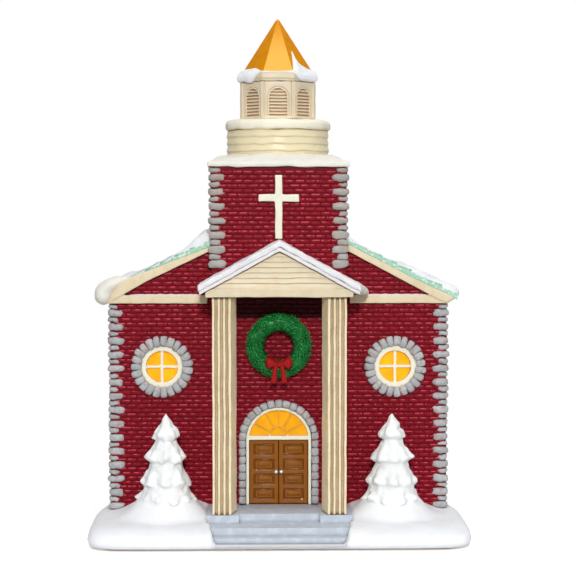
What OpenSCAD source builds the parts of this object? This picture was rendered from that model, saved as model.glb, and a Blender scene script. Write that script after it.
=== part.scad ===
// Lit church ornament: painted castings glued together on a snow base, with a battery light inside.
// Front of the church faces -Y, +X is to the right, and the base stands on z = 0.

/* [Base and porch] */
// Width of the snow base
base_w = 145; // [142:1:160]
// Depth of the snow base
base_d = 130; // [128:1:145]
// Height of the snow where the walls stand
base_h = 8; // [7.5:0.5:10]
// Corner radius of the base in plan
base_corner = 12; // [9:1:13]
// Half width of the steps and the cheek blocks
steps_half_w = 27.9; // [27:0.1:31]
// Height of one step
step_rise = 3; // [2.5:0.1:3.3]
// Depth of one tread
step_tread = 4; // [3:0.5:4.5]

/* [Nave] */
// Width of the brick nave
nave_w = 132; // [126:1:133]
// Front wall, distance ahead of the tower's centre line
nave_front = 25; // [24:0.5:26]
// Rear wall, distance behind the tower's centre line
nave_back = 52; // [44:1:53]
// Height of the eaves above the table
eave_z = 90; // [84:1:100]
// Thickness of the cast walls
wall_t = 4; // [3:0.5:4.5]
// Rise of the roof for each millimetre across
roof_slope = 0.485; // [0.4:0.005:0.6]
// Height of the cream band under the eaves
band_h = 3.4; // [2.5:0.1:4]
// Height of the sloping rake boards
rake_h = 3.4; // [2:0.1:4]
// Thickness of the roof slabs
roof_t = 2.6; // [2:0.1:4]
// Number of shingle courses on each slope
shingle_rows = 12; // [8:1:16]

/* [Corner stones] */
// Height of one long and one short stone together on the nave
nave_stone_pitch = 5.5; // [5:0.1:8]
// Height of one long and one short stone together on the tower
tower_stone_pitch = 6; // [5:0.1:8]
// How far the corner stones stand out from the brick
stone_proud = 1.2; // [0.8:0.1:1.5]
// Width of a long corner stone
stone_long = 5.4; // [5:0.1:7]
// Width of a short corner stone
stone_short = 3.5; // [2.5:0.1:4.5]

/* [Tower and belfry] */
// Width of the brick tower
tower_w = 52.4; // [50:0.2:55]
// Depth of the brick tower
tower_d = 56; // [54:1:60]
// Height of the tower's brick above the portico ceiling
tower_h = 49.5; // [44:0.1:56]
// Height of the snow on top of the tower
tower_snow_h = 3.9; // [3:0.1:7]
// Radius of the round clapboard drum
drum_r = 20.9; // [19:0.1:24]
// Height of the clapboard drum
drum_h = 11.4; // [7:0.1:12]
// Number of clapboards round the drum
drum_boards = 4; // [3:1:7]
// Height of the snowy rim on the drum
rim_h = 4.2; // [3:0.1:6]
// Belfry width across its flats
belfry_w = 29.2; // [27:0.1:31]
// Height of the belfry's eight walls
belfry_h = 15; // [13:0.1:18]
// Width of a louvred arch
arch_w = 7.2; // [5:0.1:7.5]
// Number of louvre slats in an arch
slats = 9; // [5:1:11]
// Height of the belfry's cornice
cornice_h = 3.8; // [3:0.1:6]
// Height of the gold spire
spire_h = 22.8; // [18:0.1:28]
// Spire width across its flats at the foot
spire_w = 28.4; // [24:0.1:29]
// Length of the cross
cross_h = 24.9; // [18:0.1:26]
// Width of the cross's bars
cross_bar = 2.8; // [2:0.1:4]

/* [Portico] */
// Front of the portico, distance ahead of the tower's centre line
portico_front = 50; // [48:0.5:52]
// Half width of the portico's beam
beam_half_w = 28; // [27.5:0.1:30]
// Height of the portico's beam
beam_h = 3.2; // [2:0.1:4]
// Rise of the portico roof for each millimetre across
portico_slope = 0.55; // [0.5:0.01:0.66]
// Width of a column
column_w = 7.1; // [6:0.1:8]
// Distance of a column's middle from the centre line
column_x = 22; // [21:0.25:23]
// Number of ridges across a column's face
column_ridges = 4; // [3:1:6]

/* [Door, wreath and windows] */
// Half width of the door's arched opening
door_half_w = 12.9; // [11:0.1:13.5]
// Height of the door leaves
door_h = 25.6; // [20:0.1:30]
// Width of the stones round the door
surround_w = 2.7; // [2.5:0.1:4]
// Radius of the wreath at the middle of its tube
wreath_r = 9.3; // [7:0.1:11]
// Radius of the wreath's tube
wreath_tube = 3.6; // [2.5:0.1:4]
// Height of the wreath's middle
wreath_z = 73.5; // [70:0.5:77]
// Distance of a window's middle from the centre line
window_x = 45.9; // [44:0.1:47]
// Height of the windows' middle
window_z = 65; // [60:0.5:72]
// Outer radius of a window's stone ring
window_ring_r = 12.2; // [11.5:0.1:14]
// Outer radius of a window's cream frame
window_frame_r = 8.6; // [8:0.1:9.5]
// Radius of the amber pane
pane_r = 6.3; // [5.5:0.1:7]
// Width of a window's cross bars
muntin = 1.05; // [0.8:0.05:1.6]

/* [Trees] */
// Height of a tree above the snow
tree_h = 40; // [34:1:46]
// Radius of a tree's lowest branches
tree_r = 11.6; // [9:0.1:11.2]
// Number of branch tiers
tree_tiers = 4; // [3:1:7]

/* [Light unit] */
// Diameter of a cell
cell_d = 10.2; // [9:0.1:10.6]
// Length of a cell's can
cell_l = 43.7; // [38:0.1:45]
// Number of cells side by side
cells_n = 3; // [2:1:3]
// Wall of the battery box
tray_t = 2; // [1.5:0.1:2.5]
// Thickness of the tray's plate
plate_t = 2.6; // [2.5:0.1:2.8]
// How far the battery door slides
door_travel = 6; // [3:0.5:7]
// How far the switch slides
switch_travel = 4; // [2:0.5:5]
// Running clearance of the sliding parts
slide_gap = 0.3; // [0.2:0.05:0.4]

/* [Hidden] */

$fn = 48;
glue = 0.1;         // film of glue between castings
far = 300;          // reach of a cut that goes right past the church
nave_hw = nave_w / 2;
tower_hw = tower_w / 2;
tower_hd = tower_d / 2;
roof_over = 4.5;    // overhang of the roof past the side walls
gable_over = 2.5;   // overhang of the roof past the rear gable
trim_t = 2;         // thickness of the gable trim

// Underside of the main roof at a distance x from the ridge
function roof_under(x) = eave_z + band_h + roof_slope * (nave_hw - abs(x));

lip_z = 1.2;                            // floor of the notch that takes the steps
porch_z = lip_z + 3 * step_rise;          // porch floor
cheek_z = porch_z + 0.2;                // top of the cheek blocks
portico_z = eave_z + band_h + 0.4;      // portico ceiling, where the tower's brick starts
tower_top = portico_z + tower_h;
drum_z = tower_top + tower_snow_h;
rim_z = drum_z + drum_h;
belfry_z = rim_z + rim_h;
cornice_z = belfry_z + belfry_h;
spire_z = cornice_z + cornice_h;
portico_eave = beam_half_w + 2.4;       // half width of the portico roof
portico_clear = column_x + column_w / 2; // no eave band behind the columns

// Top line of the portico's gable at a distance x from its ridge
function portico_under(x) = portico_z + 2 + portico_slope * (beam_half_w - abs(x));

portico_roof_t = 1.7;                   // boards of the portico roof
portico_snow_t = 2.2;                   // snow on the portico roof
portico_top = portico_under(0) + portico_roof_t + portico_snow_t;

// Block between two corners
module block(low, high) {
    translate(low) cube(high - low);
}

// Octagonal prism with flats to the front, sized across its flats
module octagon(flats, h) {
    rotate(22.5) cylinder(h = h, r = flats / 2 / cos(22.5), $fn = 8);
}

// Outline in X and Z, extruded from y0 to y1
module front_slab(y0, y1) {
    translate([0, y1, 0]) rotate([90, 0, 0]) linear_extrude(y1 - y0) children();
}

// Left and right copies share one shape
module on_left() {
    mirror([1, 0, 0]) children();
}

// Snow base
base_edge = 5.8;    // how far the snow slopes in at the sides and back
base_front = 7;     // how much farther it slopes in at the front
base_draw = 3.4;    // how much narrower it is beside the walls, at each side
notch_gap = 0.3;    // snow stops this far from the steps

// One thin level of a loaf of snow, drawn in by a share of the slopes at its sides and front
module base_level(z, share, half_w, y0, y1, slope_y0) {
    inset = base_edge * share;
    front = y0 + inset + slope_y0 * share;
    r = base_corner - inset * 0.8;
    translate([0, (front + y1 - inset) / 2, z]) linear_extrude(0.01) offset(r = r, $fn = 40)
        square([2 * (half_w - inset - r), y1 - inset - front - 2 * r], center = true);
}

// A loaf: widest a little above the table, undercut below and rounded over above
module base_loaf(half_w, y0, y1, slope_y0) {
    hull() for (level = [[0, 0.32], [0.14, 0.14], [0.38, 0], [0.68, 0.25], [0.9, 0.62], [1, 1]])
        base_level(level.x * (base_h - 0.01), level.y, half_w, y0, y1, slope_y0);
}

// Wide in front, where the trees stand, and narrower beside the walls
module snow_base() {
    color("white") difference() {
        union() {
            base_loaf(base_w / 2, -base_d / 2, -nave_front + 14, base_front);
            base_loaf(base_w / 2 - base_draw, -nave_front - 14, base_d / 2, 0);
        }
        block([-steps_half_w - notch_gap, -base_d, lip_z],
              [steps_half_w + notch_gap, -nave_front + notch_gap, base_h + 1]);
        block([-plate_hw - slide_gap, plate_y0 - slide_gap, -1],
              [plate_hw + slide_gap, plate_y1 + slide_gap, plate_z + plate_t + glue]);
        block([-shaft_hw, plate_y0 + rebate, -1], [shaft_hw, plate_y1 - rebate, base_h + 1]);
        for (p = screw_places) translate([p.x, p.y, -1])
            cylinder(h = screw_tip + 1.3, r = screw_r + glue);
    }
}

// Steps, porch floor and the cheek blocks that carry the columns
cheek_inner = 15.5;  // inner face of a cheek block
cheek_front = portico_front - 1.5;

module porch_steps() {
    top1 = lip_z + step_rise;
    top2 = lip_z + 2 * step_rise;
    front2 = cheek_front + 2 * step_tread;
    color("lightslategray") union() {
        for (i = [0:1])
            block([-steps_half_w, -front2 - (1 - i) * step_tread, lip_z + glue],
                  [steps_half_w, -nave_front - glue, lip_z + (i + 1) * step_rise]);
        block([-cheek_inner - 0.5, -cheek_front + step_tread, top1], [cheek_inner + 0.5, -nave_front - glue, porch_z]);
        for (s = [-1, 1]) translate([s * (cheek_inner + steps_half_w) / 2, 0, 0])
            block([-(steps_half_w - cheek_inner) / 2, -cheek_front, top2 - 1],
                  [(steps_half_w - cheek_inner) / 2, -nave_front - glue, cheek_z]);
    }
}

// Tree of drooping tiers under snow, turned from one scalloped outline
tree_x = 43.7;        // distance from the centre line
tree_y = -nave_front - stone_proud - 11.4;

tree_foot_r = 15;    // snow heaped round the tree's foot
tree_foot_h = 3.6;

// Underside, edge and shoulder of one tier of boughs, counted from the lowest
function tier_points(i) = let (
    rise = tree_h - tree_foot_h,
    z0 = tree_foot_h + rise * i / tree_tiers,
    dz = rise / tree_tiers,
    edge = tree_r * pow(1 - i / tree_tiers, 0.62),
    neck = tree_r * pow(1 - (i + 1) / tree_tiers, 0.62) * 0.72 + 0.3
) [[edge * 0.84, z0], [edge, z0 + dz * 0.1], [edge * 0.96, z0 + dz * 0.25], [(edge + neck) / 2, z0 + dz * 0.66],
   [neck, z0 + dz * 0.98]];

module tree() {
    outline = [for (i = [0:tree_tiers - 1]) each tier_points(i)];
    color("white") difference() {
        translate([tree_x, tree_y, base_h + glue])
            rotate_extrude() polygon(concat([[0, 0], [tree_foot_r, 0], [tree_foot_r * 0.82, tree_foot_h * 0.6]],
                outline, [[0, tree_h]]));
        block([0, -nave_front - glue, 0], [far, far, far]);
    }
}

module tree_right() { tree(); }
module tree_left() { on_left() tree(); }

// Nave: four cast walls with both gables in one piece
wall_z0 = base_h + glue;

// Outline of a gable wall up to the underside of the roof, drawn in by a distance at the sides
module gable_outline(inset = 0) {
    x = nave_hw - inset;
    polygon([[-x, wall_z0], [x, wall_z0], [x, roof_under(x) - glue], [0, roof_under(0) - glue],
             [-x, roof_under(x) - glue]]);
}

// Space that the tower takes up in the nave, with its glue film
module tower_space() {
    block([-tower_hw - glue, -tower_hd - glue, portico_z - glue],
          [tower_hw + glue, tower_hd + glue, far]);
}

module nave_walls() {
    color("maroon") difference() {
        front_slab(-nave_front, nave_back) gable_outline();
        front_slab(-nave_front + wall_t, nave_back - wall_t)
            square([nave_w - 2 * wall_t, 2 * far], center = true);
        tower_space();
        front_slab(-nave_front - 1, -nave_front + wall_t + 1) door_opening(door_half_w + glue);
        for (s = [-1, 1]) translate([s * window_x, -nave_front - 1, window_z]) rotate([-90, 0, 0])
            cylinder(h = wall_t + 2, r = window_frame_r + glue);
    }
}

// Corner stones: a thin bed up the corner, with long and short stones in turn on both faces
bed_t = 0.4;
joint_w = 0.35;      // gap between two stones

// One stone wrapped round a corner at the origin, long on the X face or on the Y face
module corner_stone(along_x, along_y, h, proud) {
    linear_extrude(h) polygon([[-along_x, 0], [0, 0], [0, along_y], [proud, along_y], [proud, -proud],
                               [-along_x, -proud]]);
}

// Pairs of a long and a short stone from z0 up to z1, as near to the given pitch as whole pairs allow
module quoin_stack(z0, z1, pitch) {
    pairs = round((z1 - z0) / pitch);
    step = (z1 - z0) / pairs;
    long_h = step * 0.58;
    translate([0, 0, z0]) {
        corner_stone(stone_short - bed_t, stone_short - bed_t, z1 - z0, bed_t);
        for (i = [0:pairs - 1]) translate([0, 0, i * step]) {
            corner_stone(stone_long, stone_short, long_h - joint_w, stone_proud);
            translate([0, 0, long_h])
                corner_stone(stone_short, stone_long, step - long_h - joint_w, stone_proud * 0.85);
        }
    }
}

module nave_quoins_front() {
    color("silver") translate([nave_hw + glue, -nave_front - glue, 0])
        quoin_stack(wall_z0, eave_z - glue, nave_stone_pitch);
}

module nave_quoins_rear() {
    color("silver") translate([nave_hw + glue, nave_back + glue, 0]) mirror([0, 1, 0])
        quoin_stack(wall_z0, eave_z - glue, nave_stone_pitch);
}

module quoins_front_right() { nave_quoins_front(); }
module quoins_front_left() { on_left() nave_quoins_front(); }
module quoins_rear_right() { nave_quoins_rear(); }
module quoins_rear_left() { on_left() nave_quoins_rear(); }

// Gable trim: a band at eaves height and two rake boards under the roof
trim_hw = nave_hw + 3.8;
end_r = 2.6;          // round end of the front trim
board_left = -1.1;    // top of the front boards at the tower, over the roof's underside
board_right = 0.5;

module gable_trim() {
    x = nave_hw + 2;
    inner_x = nave_hw - rake_h / roof_slope;
    difference() {
        polygon([[-x, eave_z], [x, eave_z], [x, roof_under(x) - glue], [0, roof_under(0) - glue],
                 [-x, roof_under(x) - glue]]);
        polygon([[-inner_x, eave_z + band_h], [inner_x, eave_z + band_h], [0, roof_under(0) - rake_h]]);
    }
}

// At the front the boards widen to the eaves, where they hide the roof's edge, and end round
module gable_trim_wide() {
    x = trim_hw - end_r;
    inner_x = nave_hw - rake_h / roof_slope;
    difference() {
        union() {
            polygon([[-x, eave_z], [x, eave_z], [x, eave_z + 2 * end_r],
                     [tower_hw, roof_under(tower_hw) + board_right], [0, roof_under(0)],
                     [-tower_hw, roof_under(tower_hw) + board_left], [-x, eave_z + 2 * end_r]]);
            for (s = [-1, 1]) translate([s * x, eave_z + end_r]) circle(r = end_r);
        }
        polygon([[-inner_x, eave_z + band_h], [inner_x, eave_z + band_h], [0, roof_under(0) - rake_h]]);
    }
}

module gable_trim_front() {
    color("cornsilk") difference() {
        front_slab(-nave_front - trim_t, -nave_front - glue) gable_trim_wide();
        tower_space();
        block([-portico_clear, -portico_front, 0], [portico_clear, 0, portico_z + 2]);
    }
}

module gable_trim_rear() {
    color("cornsilk") front_slab(nave_back + glue, nave_back + trim_t) gable_trim();
}

// Roof slope with overlapping shingle courses, from the ridge down to the eave
roof_hw = nave_hw + roof_over;
course_lap = 0.7;    // step at the butt of each course

module roof_slope_outline() {
    run = roof_hw / shingle_rows;
    tops = [for (i = [0:shingle_rows - 1]) each [
        [i * run, roof_under(i * run) + roof_t - course_lap],
        [(i + 1) * run, roof_under((i + 1) * run) + roof_t]]];
    polygon(concat([[glue / 2, roof_under(0)]], [[glue / 2, roof_under(0) + roof_t - course_lap]],
        [for (i = [1:len(tops) - 1]) tops[i]], [[roof_hw, roof_under(roof_hw)]]));
}

module roof_slab() {
    color("mediumaquamarine") difference() {
        front_slab(-nave_front, nave_back + gable_over) roof_slope_outline();
        tower_space();
    }
}

module roof_right() { roof_slab(); }
module roof_left() { on_left() roof_slab(); }

// Snow on a roof slope: a roll over the eave, a sheet above it and a drift behind the tower
snow_t = 1.6;        // depth of the snow on the roofs
snow_roll = 2.2;     // how far the roll of snow hangs out past the eave
roll_drop = 2.4;     // how far it hangs below the roof's edge
roof_angle = atan(roof_slope);

// Wavy edged sheet, measured down the slope and along the ridge
module drift(down0, down1, back0, back1, wave) {
    steps = 12;
    polygon(concat(
        [for (i = [0:steps]) [down0 + wave * sin(i * 97), back0 + (back1 - back0) * i / steps]],
        [for (i = [steps:-1:0]) [down1, back0 + (back1 - back0) * i / steps]]));
}

// Section of the roll over the eave, from the roof's face round to its lower edge
module roll_outline() {
    x = roof_hw + glue;
    z = roof_under(roof_hw) + roof_t + glue;
    polygon([[x - 7, z + 7 * roof_slope], [x, z], [x, z - roof_t - roll_drop * 0.6], [x + snow_roll * 0.4, z - roof_t - roll_drop],
             [x + snow_roll * 0.9, z - roof_t - roll_drop * 0.4], [x + snow_roll, z - roof_t * 0.3],
             [x + snow_roll * 0.5, z + snow_t * 0.8], [x - 3, z + 3 * roof_slope + snow_t],
             [x - 7, z + 7 * roof_slope + snow_t]]);
}

module roof_snow() {
    roll_top = (roof_hw - 7) / cos(roof_angle);
    y0 = -nave_front;
    y1 = nave_back + gable_over;
    color("white") {
        front_slab(y0 + 0.3, y1 - 0.3) roll_outline();
        translate([0, 0, roof_under(0) + roof_t + glue]) rotate([0, roof_angle, 0])
            linear_extrude(snow_t) {
                drift(roll_top - 9, roll_top, y0 + 9, y1 - 0.3, 3);
                drift(3, 24, tower_hd + stone_proud + 2, y1 - 1, 1.5);
            }
    }
}

module roof_snow_right() { roof_snow(); }
module roof_snow_left() { on_left() roof_snow(); }

// Tower: a square brick tube standing on the nave's front wall
tower_t = tower_hd - nave_front + 2;

module tower_walls() {
    color("maroon") difference() {
        block([-tower_hw, -tower_hd, portico_z], [tower_hw, tower_hd, tower_top]);
        block([-tower_hw + tower_t, -tower_hd + tower_t, portico_z - 1],
              [tower_hw - tower_t, tower_hd - tower_t, tower_top - tower_t]);
    }
}

tower_stone_z0 = portico_under(tower_hw - stone_long) + portico_roof_t + portico_snow_t + 0.3;
tower_side_z0 = roof_under(tower_hw) + roof_t + 0.3;
tower_stone_rear_z0 = roof_under(tower_hw - stone_long) + roof_t + 0.5;

// Below the roof the front stones lie on the tower's face alone
module tower_quoins_front() {
    color("silver") difference() {
        translate([tower_hw + glue, -tower_hd - glue, 0])
            quoin_stack(tower_stone_z0, tower_top - glue, tower_stone_pitch);
        block([tower_hw, -tower_hd - glue, 0], [far, far, tower_side_z0]);
    }
}

module tower_quoins_rear() {
    color("silver") translate([tower_hw + glue, tower_hd + glue, 0]) mirror([0, 1, 0])
        quoin_stack(tower_stone_rear_z0, tower_top - glue, tower_stone_pitch);
}

module tower_quoins_front_right() { tower_quoins_front(); }
module tower_quoins_front_left() { on_left() tower_quoins_front(); }
module tower_quoins_rear_right() { tower_quoins_rear(); }
module tower_quoins_rear_left() { on_left() tower_quoins_rear(); }

// Snow on the tower, rising from its square shelf to the foot of the drum
shelf_over = 1.6;    // overhang of the snow shelf
shelf_h = 2;
snow_climbs = 1.6;   // the snow lies this much higher round the drum's foot

module tower_snow() {
    color("white") difference() {
        hull() {
            translate([0, 0, tower_top + glue]) linear_extrude(shelf_h - glue)
                square([tower_w + 2 * shelf_over, tower_d + 2 * shelf_over], center = true);
            translate([0, 0, drum_z + snow_climbs - 0.5]) cylinder(h = 0.5, r = drum_r + 1.4, $fn = 32);
        }
        translate([0, 0, drum_z - glue]) cylinder(h = far, r = drum_r + 2 * glue);
    }
}

// Cross on the tower front, standing over the portico's ridge
cross_t = 1.4;
cross_arm = 7.9;     // half length of the arms
cross_z = portico_top + 0.3;

module cross() {
    color("ivory") front_slab(-tower_hd - cross_t, -tower_hd - glue) {
        translate([-cross_bar / 2, cross_z]) square([cross_bar, cross_h]);
        translate([-cross_arm, cross_z + cross_h * 0.582]) square([2 * cross_arm, cross_bar]);
    }
}

// Belfry drum: clapboards bent round a cylinder
board_step = 0.6;    // lap of one clapboard over the next

module belfry_drum() {
    pitch = drum_h / drum_boards;
    color("cornsilk") translate([0, 0, drum_z]) rotate_extrude() polygon(concat([[0, 0]],
        [for (i = [0:drum_boards - 1]) each [[drum_r, i * pitch],
            [drum_r - board_step, (i + 1) * pitch - (i == drum_boards - 1 ? glue : 0)]]],
        [[0, drum_h - glue]]));
}

// Rim of snow over the drum, flat where the belfry stands
module drum_snow_rim() {
    rim_r = drum_r + 0.6;
    color("snow") translate([0, 0, rim_z]) rotate_extrude() polygon([[0, 0], [rim_r - 0.5, 0], [rim_r, 0.8],
        [rim_r, rim_h - 1.6], [rim_r - 0.7, rim_h - 0.5], [rim_r - 2.2, rim_h - glue], [0, rim_h - glue]]);
}

// Outline of an arch of a given width, with its foot at the origin
module arch_outline(w, h) {
    translate([-w / 2, 0]) square([w, h - w / 2]);
    translate([0, h - w / 2]) circle(r = w / 2);
}

// Belfry: an octagon with a louvred arch in every face and a pilaster at every corner
louvre_sill = 0.6;   // foot of the arches above the belfry's foot
arch_head = 2.9;     // wall above the arches
louvre_deep = 1.3;   // depth of the arched recess
strip_w = 1.7;       // width of a corner pilaster
strip_proud = 0.35;
rib_w = 0.5;         // raised rib round an arch
line_w = 0.4;        // scribed line round the rib and down each pilaster
line_deep = 0.3;

module belfry_face() {
    arch_h = belfry_h - louvre_sill - arch_head;
    pitch = arch_h / slats;
    face = belfry_w / 2;
    intersection() {
        front_slab(-face - 1, -face + louvre_deep + 0.2) translate([0, louvre_sill]) arch_outline(arch_w, arch_h);
        translate([-arch_w, 0, louvre_sill]) rotate([90, 0, 90]) linear_extrude(2 * arch_w) polygon(concat(
            [[-face + louvre_deep + 0.3, 0]],
            [for (i = [0:slats - 1]) each [[-face + 0.25, i * pitch], [-face + 0.25, (i + 0.3) * pitch],
                [-face + louvre_deep, (i + 0.95) * pitch]]],
            [[-face + louvre_deep + 0.3, arch_h]]));
    }
}

module belfry() {
    arch_h = belfry_h - louvre_sill - arch_head;
    corner = belfry_w / 2 / cos(22.5);
    color("cornsilk") translate([0, 0, belfry_z]) {
        difference() {
            octagon(belfry_w, belfry_h - glue);
            for (a = [0:45:315]) rotate(a) {
                front_slab(-belfry_w, -belfry_w / 2 + louvre_deep)
                    translate([0, louvre_sill]) arch_outline(arch_w, arch_h);
                front_slab(-belfry_w, -belfry_w / 2 + line_deep) difference() {
                    translate([0, louvre_sill]) arch_outline(arch_w + 2 * (rib_w + line_w), arch_h + rib_w + line_w);
                    arch_outline(arch_w + 2 * rib_w, arch_h + rib_w + louvre_sill);
                }
            }
        }
        for (a = [0:45:315]) rotate(a) belfry_face();
        for (a = [22.5:45:360]) rotate(a)
            difference() {
                block([corner - 1.2, -strip_w / 2, 0], [corner + strip_proud, strip_w / 2, belfry_h - glue]);
                block([corner + strip_proud - line_deep, -line_w / 2, 1.1], [far, line_w / 2, far]);
            }
        octagon(belfry_w + 1, 1.1);
    }
}

// Cornice in two steps, carrying the spire
module belfry_cornice() {
    color("cornsilk") translate([0, 0, cornice_z]) {
        octagon(belfry_w + 0.8, cornice_h * 0.35);
        translate([0, 0, cornice_h * 0.3]) octagon(belfry_w + 1.6, cornice_h * 0.7 - glue);
    }
}

// Gold spire with eight flat facets
module spire_shape(grow) {
    translate([0, 0, spire_z]) rotate(22.5)
        cylinder(h = spire_h + grow, r1 = (spire_w / 2 + grow) / cos(22.5), r2 = 0, $fn = 8);
}

module spire() {
    color("goldenrod") spire_shape(0);
}

// Snow on the cornice: a lump at each side, and one that climbs the spire's front right edge
snow_lump = 2.7;     // radius of a lump
climb = 0.36;        // how far up the spire the snow climbs

module cornice_snow() {
    ledge = belfry_w / 2 - 1.9;
    edge = spire_w / 2 / cos(22.5);
    color("white") difference() {
        union() {
            for (a = [-168, 30, 150]) rotate(a) translate([ledge, 0, spire_z + 0.4]) sphere(r = snow_lump);
            rotate(-150) translate([ledge, 0, spire_z - 1]) sphere(r = snow_lump + 0.9);
            for (a = [-35, -18]) rotate(a) translate([ledge + 0.4, 0, spire_z - 0.8]) sphere(r = snow_lump);
            rotate(-67.5) hull() {
                translate([edge, 0, spire_z]) sphere(r = snow_lump, $fn = 24);
                translate([edge * (1 - climb), 0, spire_z + spire_h * climb]) sphere(r = snow_lump * 0.4, $fn = 24);
            }
            rotate(-40) translate([ledge, 0, spire_z + 0.2]) sphere(r = snow_lump);
        }
        translate([0, 0, spire_z - far]) octagon(belfry_w + 1.6 + 2 * glue, far);
        spire_shape(0.2);
    }
}

// Fluted columns, drafted wider towards the back on the inside
column_z1 = portico_z - glue;
column_d = 8;        // depth of a column
column_draft = 2;
ridge_w = 0.95;      // width of a ridge between the flutes
flute_r = 0.6;

module column() {
    flute_pitch = (column_w - ridge_w) / (column_ridges - 1);
    front = -portico_front + 2;
    color("cornsilk") translate([column_x, front, cheek_z + glue]) linear_extrude(column_z1 - cheek_z - glue)
        difference() {
            polygon([[-column_w / 2, 0], [column_w / 2, 0], [column_w / 2, column_d],
                     [-column_w / 2 - column_draft, column_d]]);
            for (i = [0:column_ridges - 2])
                translate([(ridge_w - column_w) / 2 + (i + 0.5) * flute_pitch, flute_r * 0.35]) circle(r = flute_r);
            for (i = [1:3]) translate([column_w / 2 - flute_r * 0.35, i * column_d / 4]) circle(r = flute_r);
        }
}

module column_right() { column(); }
module column_left() { on_left() column(); }

// Pediment block: a beam with clapboards above it
pediment_back = -tower_hd - glue;
boards_n = 7;

module pediment_outline() {
    polygon([[-beam_half_w, portico_z], [beam_half_w, portico_z], [beam_half_w, portico_under(beam_half_w)],
             [0, portico_under(0)], [-beam_half_w, portico_under(beam_half_w)]]);
}

module portico_pediment() {
    top = portico_under(0);
    pitch = (top - portico_z - beam_h) / boards_n;
    face = -portico_front;
    color("cornsilk") intersection() {
        front_slab(face - 1, pediment_back) pediment_outline();
        translate([-beam_half_w - 1, 0, 0]) rotate([90, 0, 90]) linear_extrude(2 * beam_half_w + 2)
            polygon(concat([[pediment_back, portico_z - 1], [face, portico_z - 1], [face, portico_z + beam_h]],
                [for (i = [0:boards_n - 1]) each [[face + 0.7, portico_z + beam_h + i * pitch],
                    [face + 1.3, portico_z + beam_h + (i + 1) * pitch]]],
                [[face + 1.3, top + 1], [pediment_back, top + 1]]));
    }
}

// Portico roof and the snow on it, both bent over the ridge

module portico_chevron(x, z0, z1) {
    polygon([[-x, portico_under(x) + z0], [0, portico_under(0) + z0], [x, portico_under(x) + z0],
             [x, portico_under(x) + z1], [0, portico_under(0) + z1], [-x, portico_under(x) + z1]]);
}

module portico_roof() {
    color("wheat") front_slab(-portico_front - 1, pediment_back)
        portico_chevron(portico_eave, glue, portico_roof_t);
}

module portico_snow() {
    color("white") front_slab(-portico_front - 1.6, pediment_back)
        portico_chevron(portico_eave + 0.4, portico_roof_t + glue, portico_roof_t + portico_snow_t);
}

// Arched door: opening, stone surround, frame with fan rays, leaves, knobs and pane
spring_z = porch_z + door_h + 0.2;
frame_w = 1.2;
frame_in = door_half_w - frame_w;
transom_h = 1.5;

module door_opening(hw) {
    translate([-hw, porch_z]) square([2 * hw, spring_z - porch_z]);
    translate([0, spring_z]) circle(r = hw);
}

surround_t = 2;
groove_w = 0.45;
groove_d = 0.9;

// Joint between two stones of the door surround, cut from x0 to x1
module surround_groove(x0, x1) {
    face = -nave_front - surround_t;
    block([x0 - 0.5, face - 1, -groove_w / 2], [x1 + 0.5, face + groove_d, groove_w / 2]);
}

module door_surround() {
    inner = door_half_w + 2 * glue;
    outer = inner + surround_w;
    stones = 15;
    jamb_stones = 8;
    jamb = (spring_z - cheek_z) / jamb_stones;
    color("silver") difference() {
        front_slab(-nave_front - surround_t, -nave_front - glue) difference() {
            door_opening(outer);
            door_opening(inner);
            translate([-far, 0]) square([2 * far, cheek_z + glue]);
        }
        for (i = [0:stones]) translate([0, 0, spring_z]) rotate([0, -180 * i / stones, 0])
            surround_groove(inner, outer);
        for (s = [-1, 1], i = [1:jamb_stones - 1]) translate([s * (inner + outer) / 2, 0, cheek_z + i * jamb])
            surround_groove(-surround_w / 2, surround_w / 2);
    }
}

ray_w = 0.5;
fan_r = 3.8;         // small half circle at the foot of the fanlight
fan_z = spring_z + transom_h;

module door_frame() {
    color("cornsilk") {
        front_slab(-nave_front - 0.8, -nave_front + wall_t - 1) difference() {
            door_opening(door_half_w);
            difference() {
                translate([0, -1]) door_opening(frame_in);
                translate([-far, spring_z]) square([2 * far, transom_h]);
            }
            difference() {
                translate([0, spring_z]) circle(r = frame_in);
                translate([-far, fan_z - far]) square([2 * far, far]);
            }
        }
        front_slab(-nave_front - 0.4, -nave_front + 0.9) difference() {
            intersection() {
                translate([0, spring_z]) circle(r = frame_in + 0.3);
                union() {
                    translate([0, fan_z]) circle(r = fan_r);
                    for (a = [28, 60, 90, 120, 152]) translate([0, fan_z]) rotate(a) translate([0, -ray_w / 2])
                        square([door_half_w, ray_w]);
                }
            }
            translate([0, fan_z]) circle(r = fan_r - ray_w);
            translate([-far, fan_z - far]) square([2 * far, far]);
        }
    }
}

module fanlight_pane() {
    color("orange") front_slab(-nave_front + 1, -nave_front + 2.2) difference() {
        translate([0, spring_z]) circle(r = frame_in - glue);
        translate([-far, fan_z + glue - far]) square([2 * far, far]);
    }
}

panels_n = 4;        // raised panels in one leaf
stile = 1.7;         // wood between a panel and the edge of the leaf

module door_leaf() {
    z0 = porch_z + glue;
    leaf_w = frame_in - 2 * glue;
    leaf_h = door_h - glue;
    cell = (leaf_h - stile) / panels_n;
    color("saddlebrown") translate([glue, -nave_front + 0.2, z0]) {
        difference() {
            cube([leaf_w, 2.4, leaf_h]);
            for (i = [0:panels_n - 1])
                block([stile, -1, stile + i * cell], [leaf_w - stile, 0.7, (i + 1) * cell]);
        }
        for (i = [0:panels_n - 1])
            block([stile + 0.7, 0.1, stile + 0.7 + i * cell], [leaf_w - stile - 0.7, 1, (i + 1) * cell - 0.7]);
    }
}

module door_leaf_right() { door_leaf(); }
module door_leaf_left() { on_left() door_leaf(); }

knob_r = 0.85;

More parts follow.
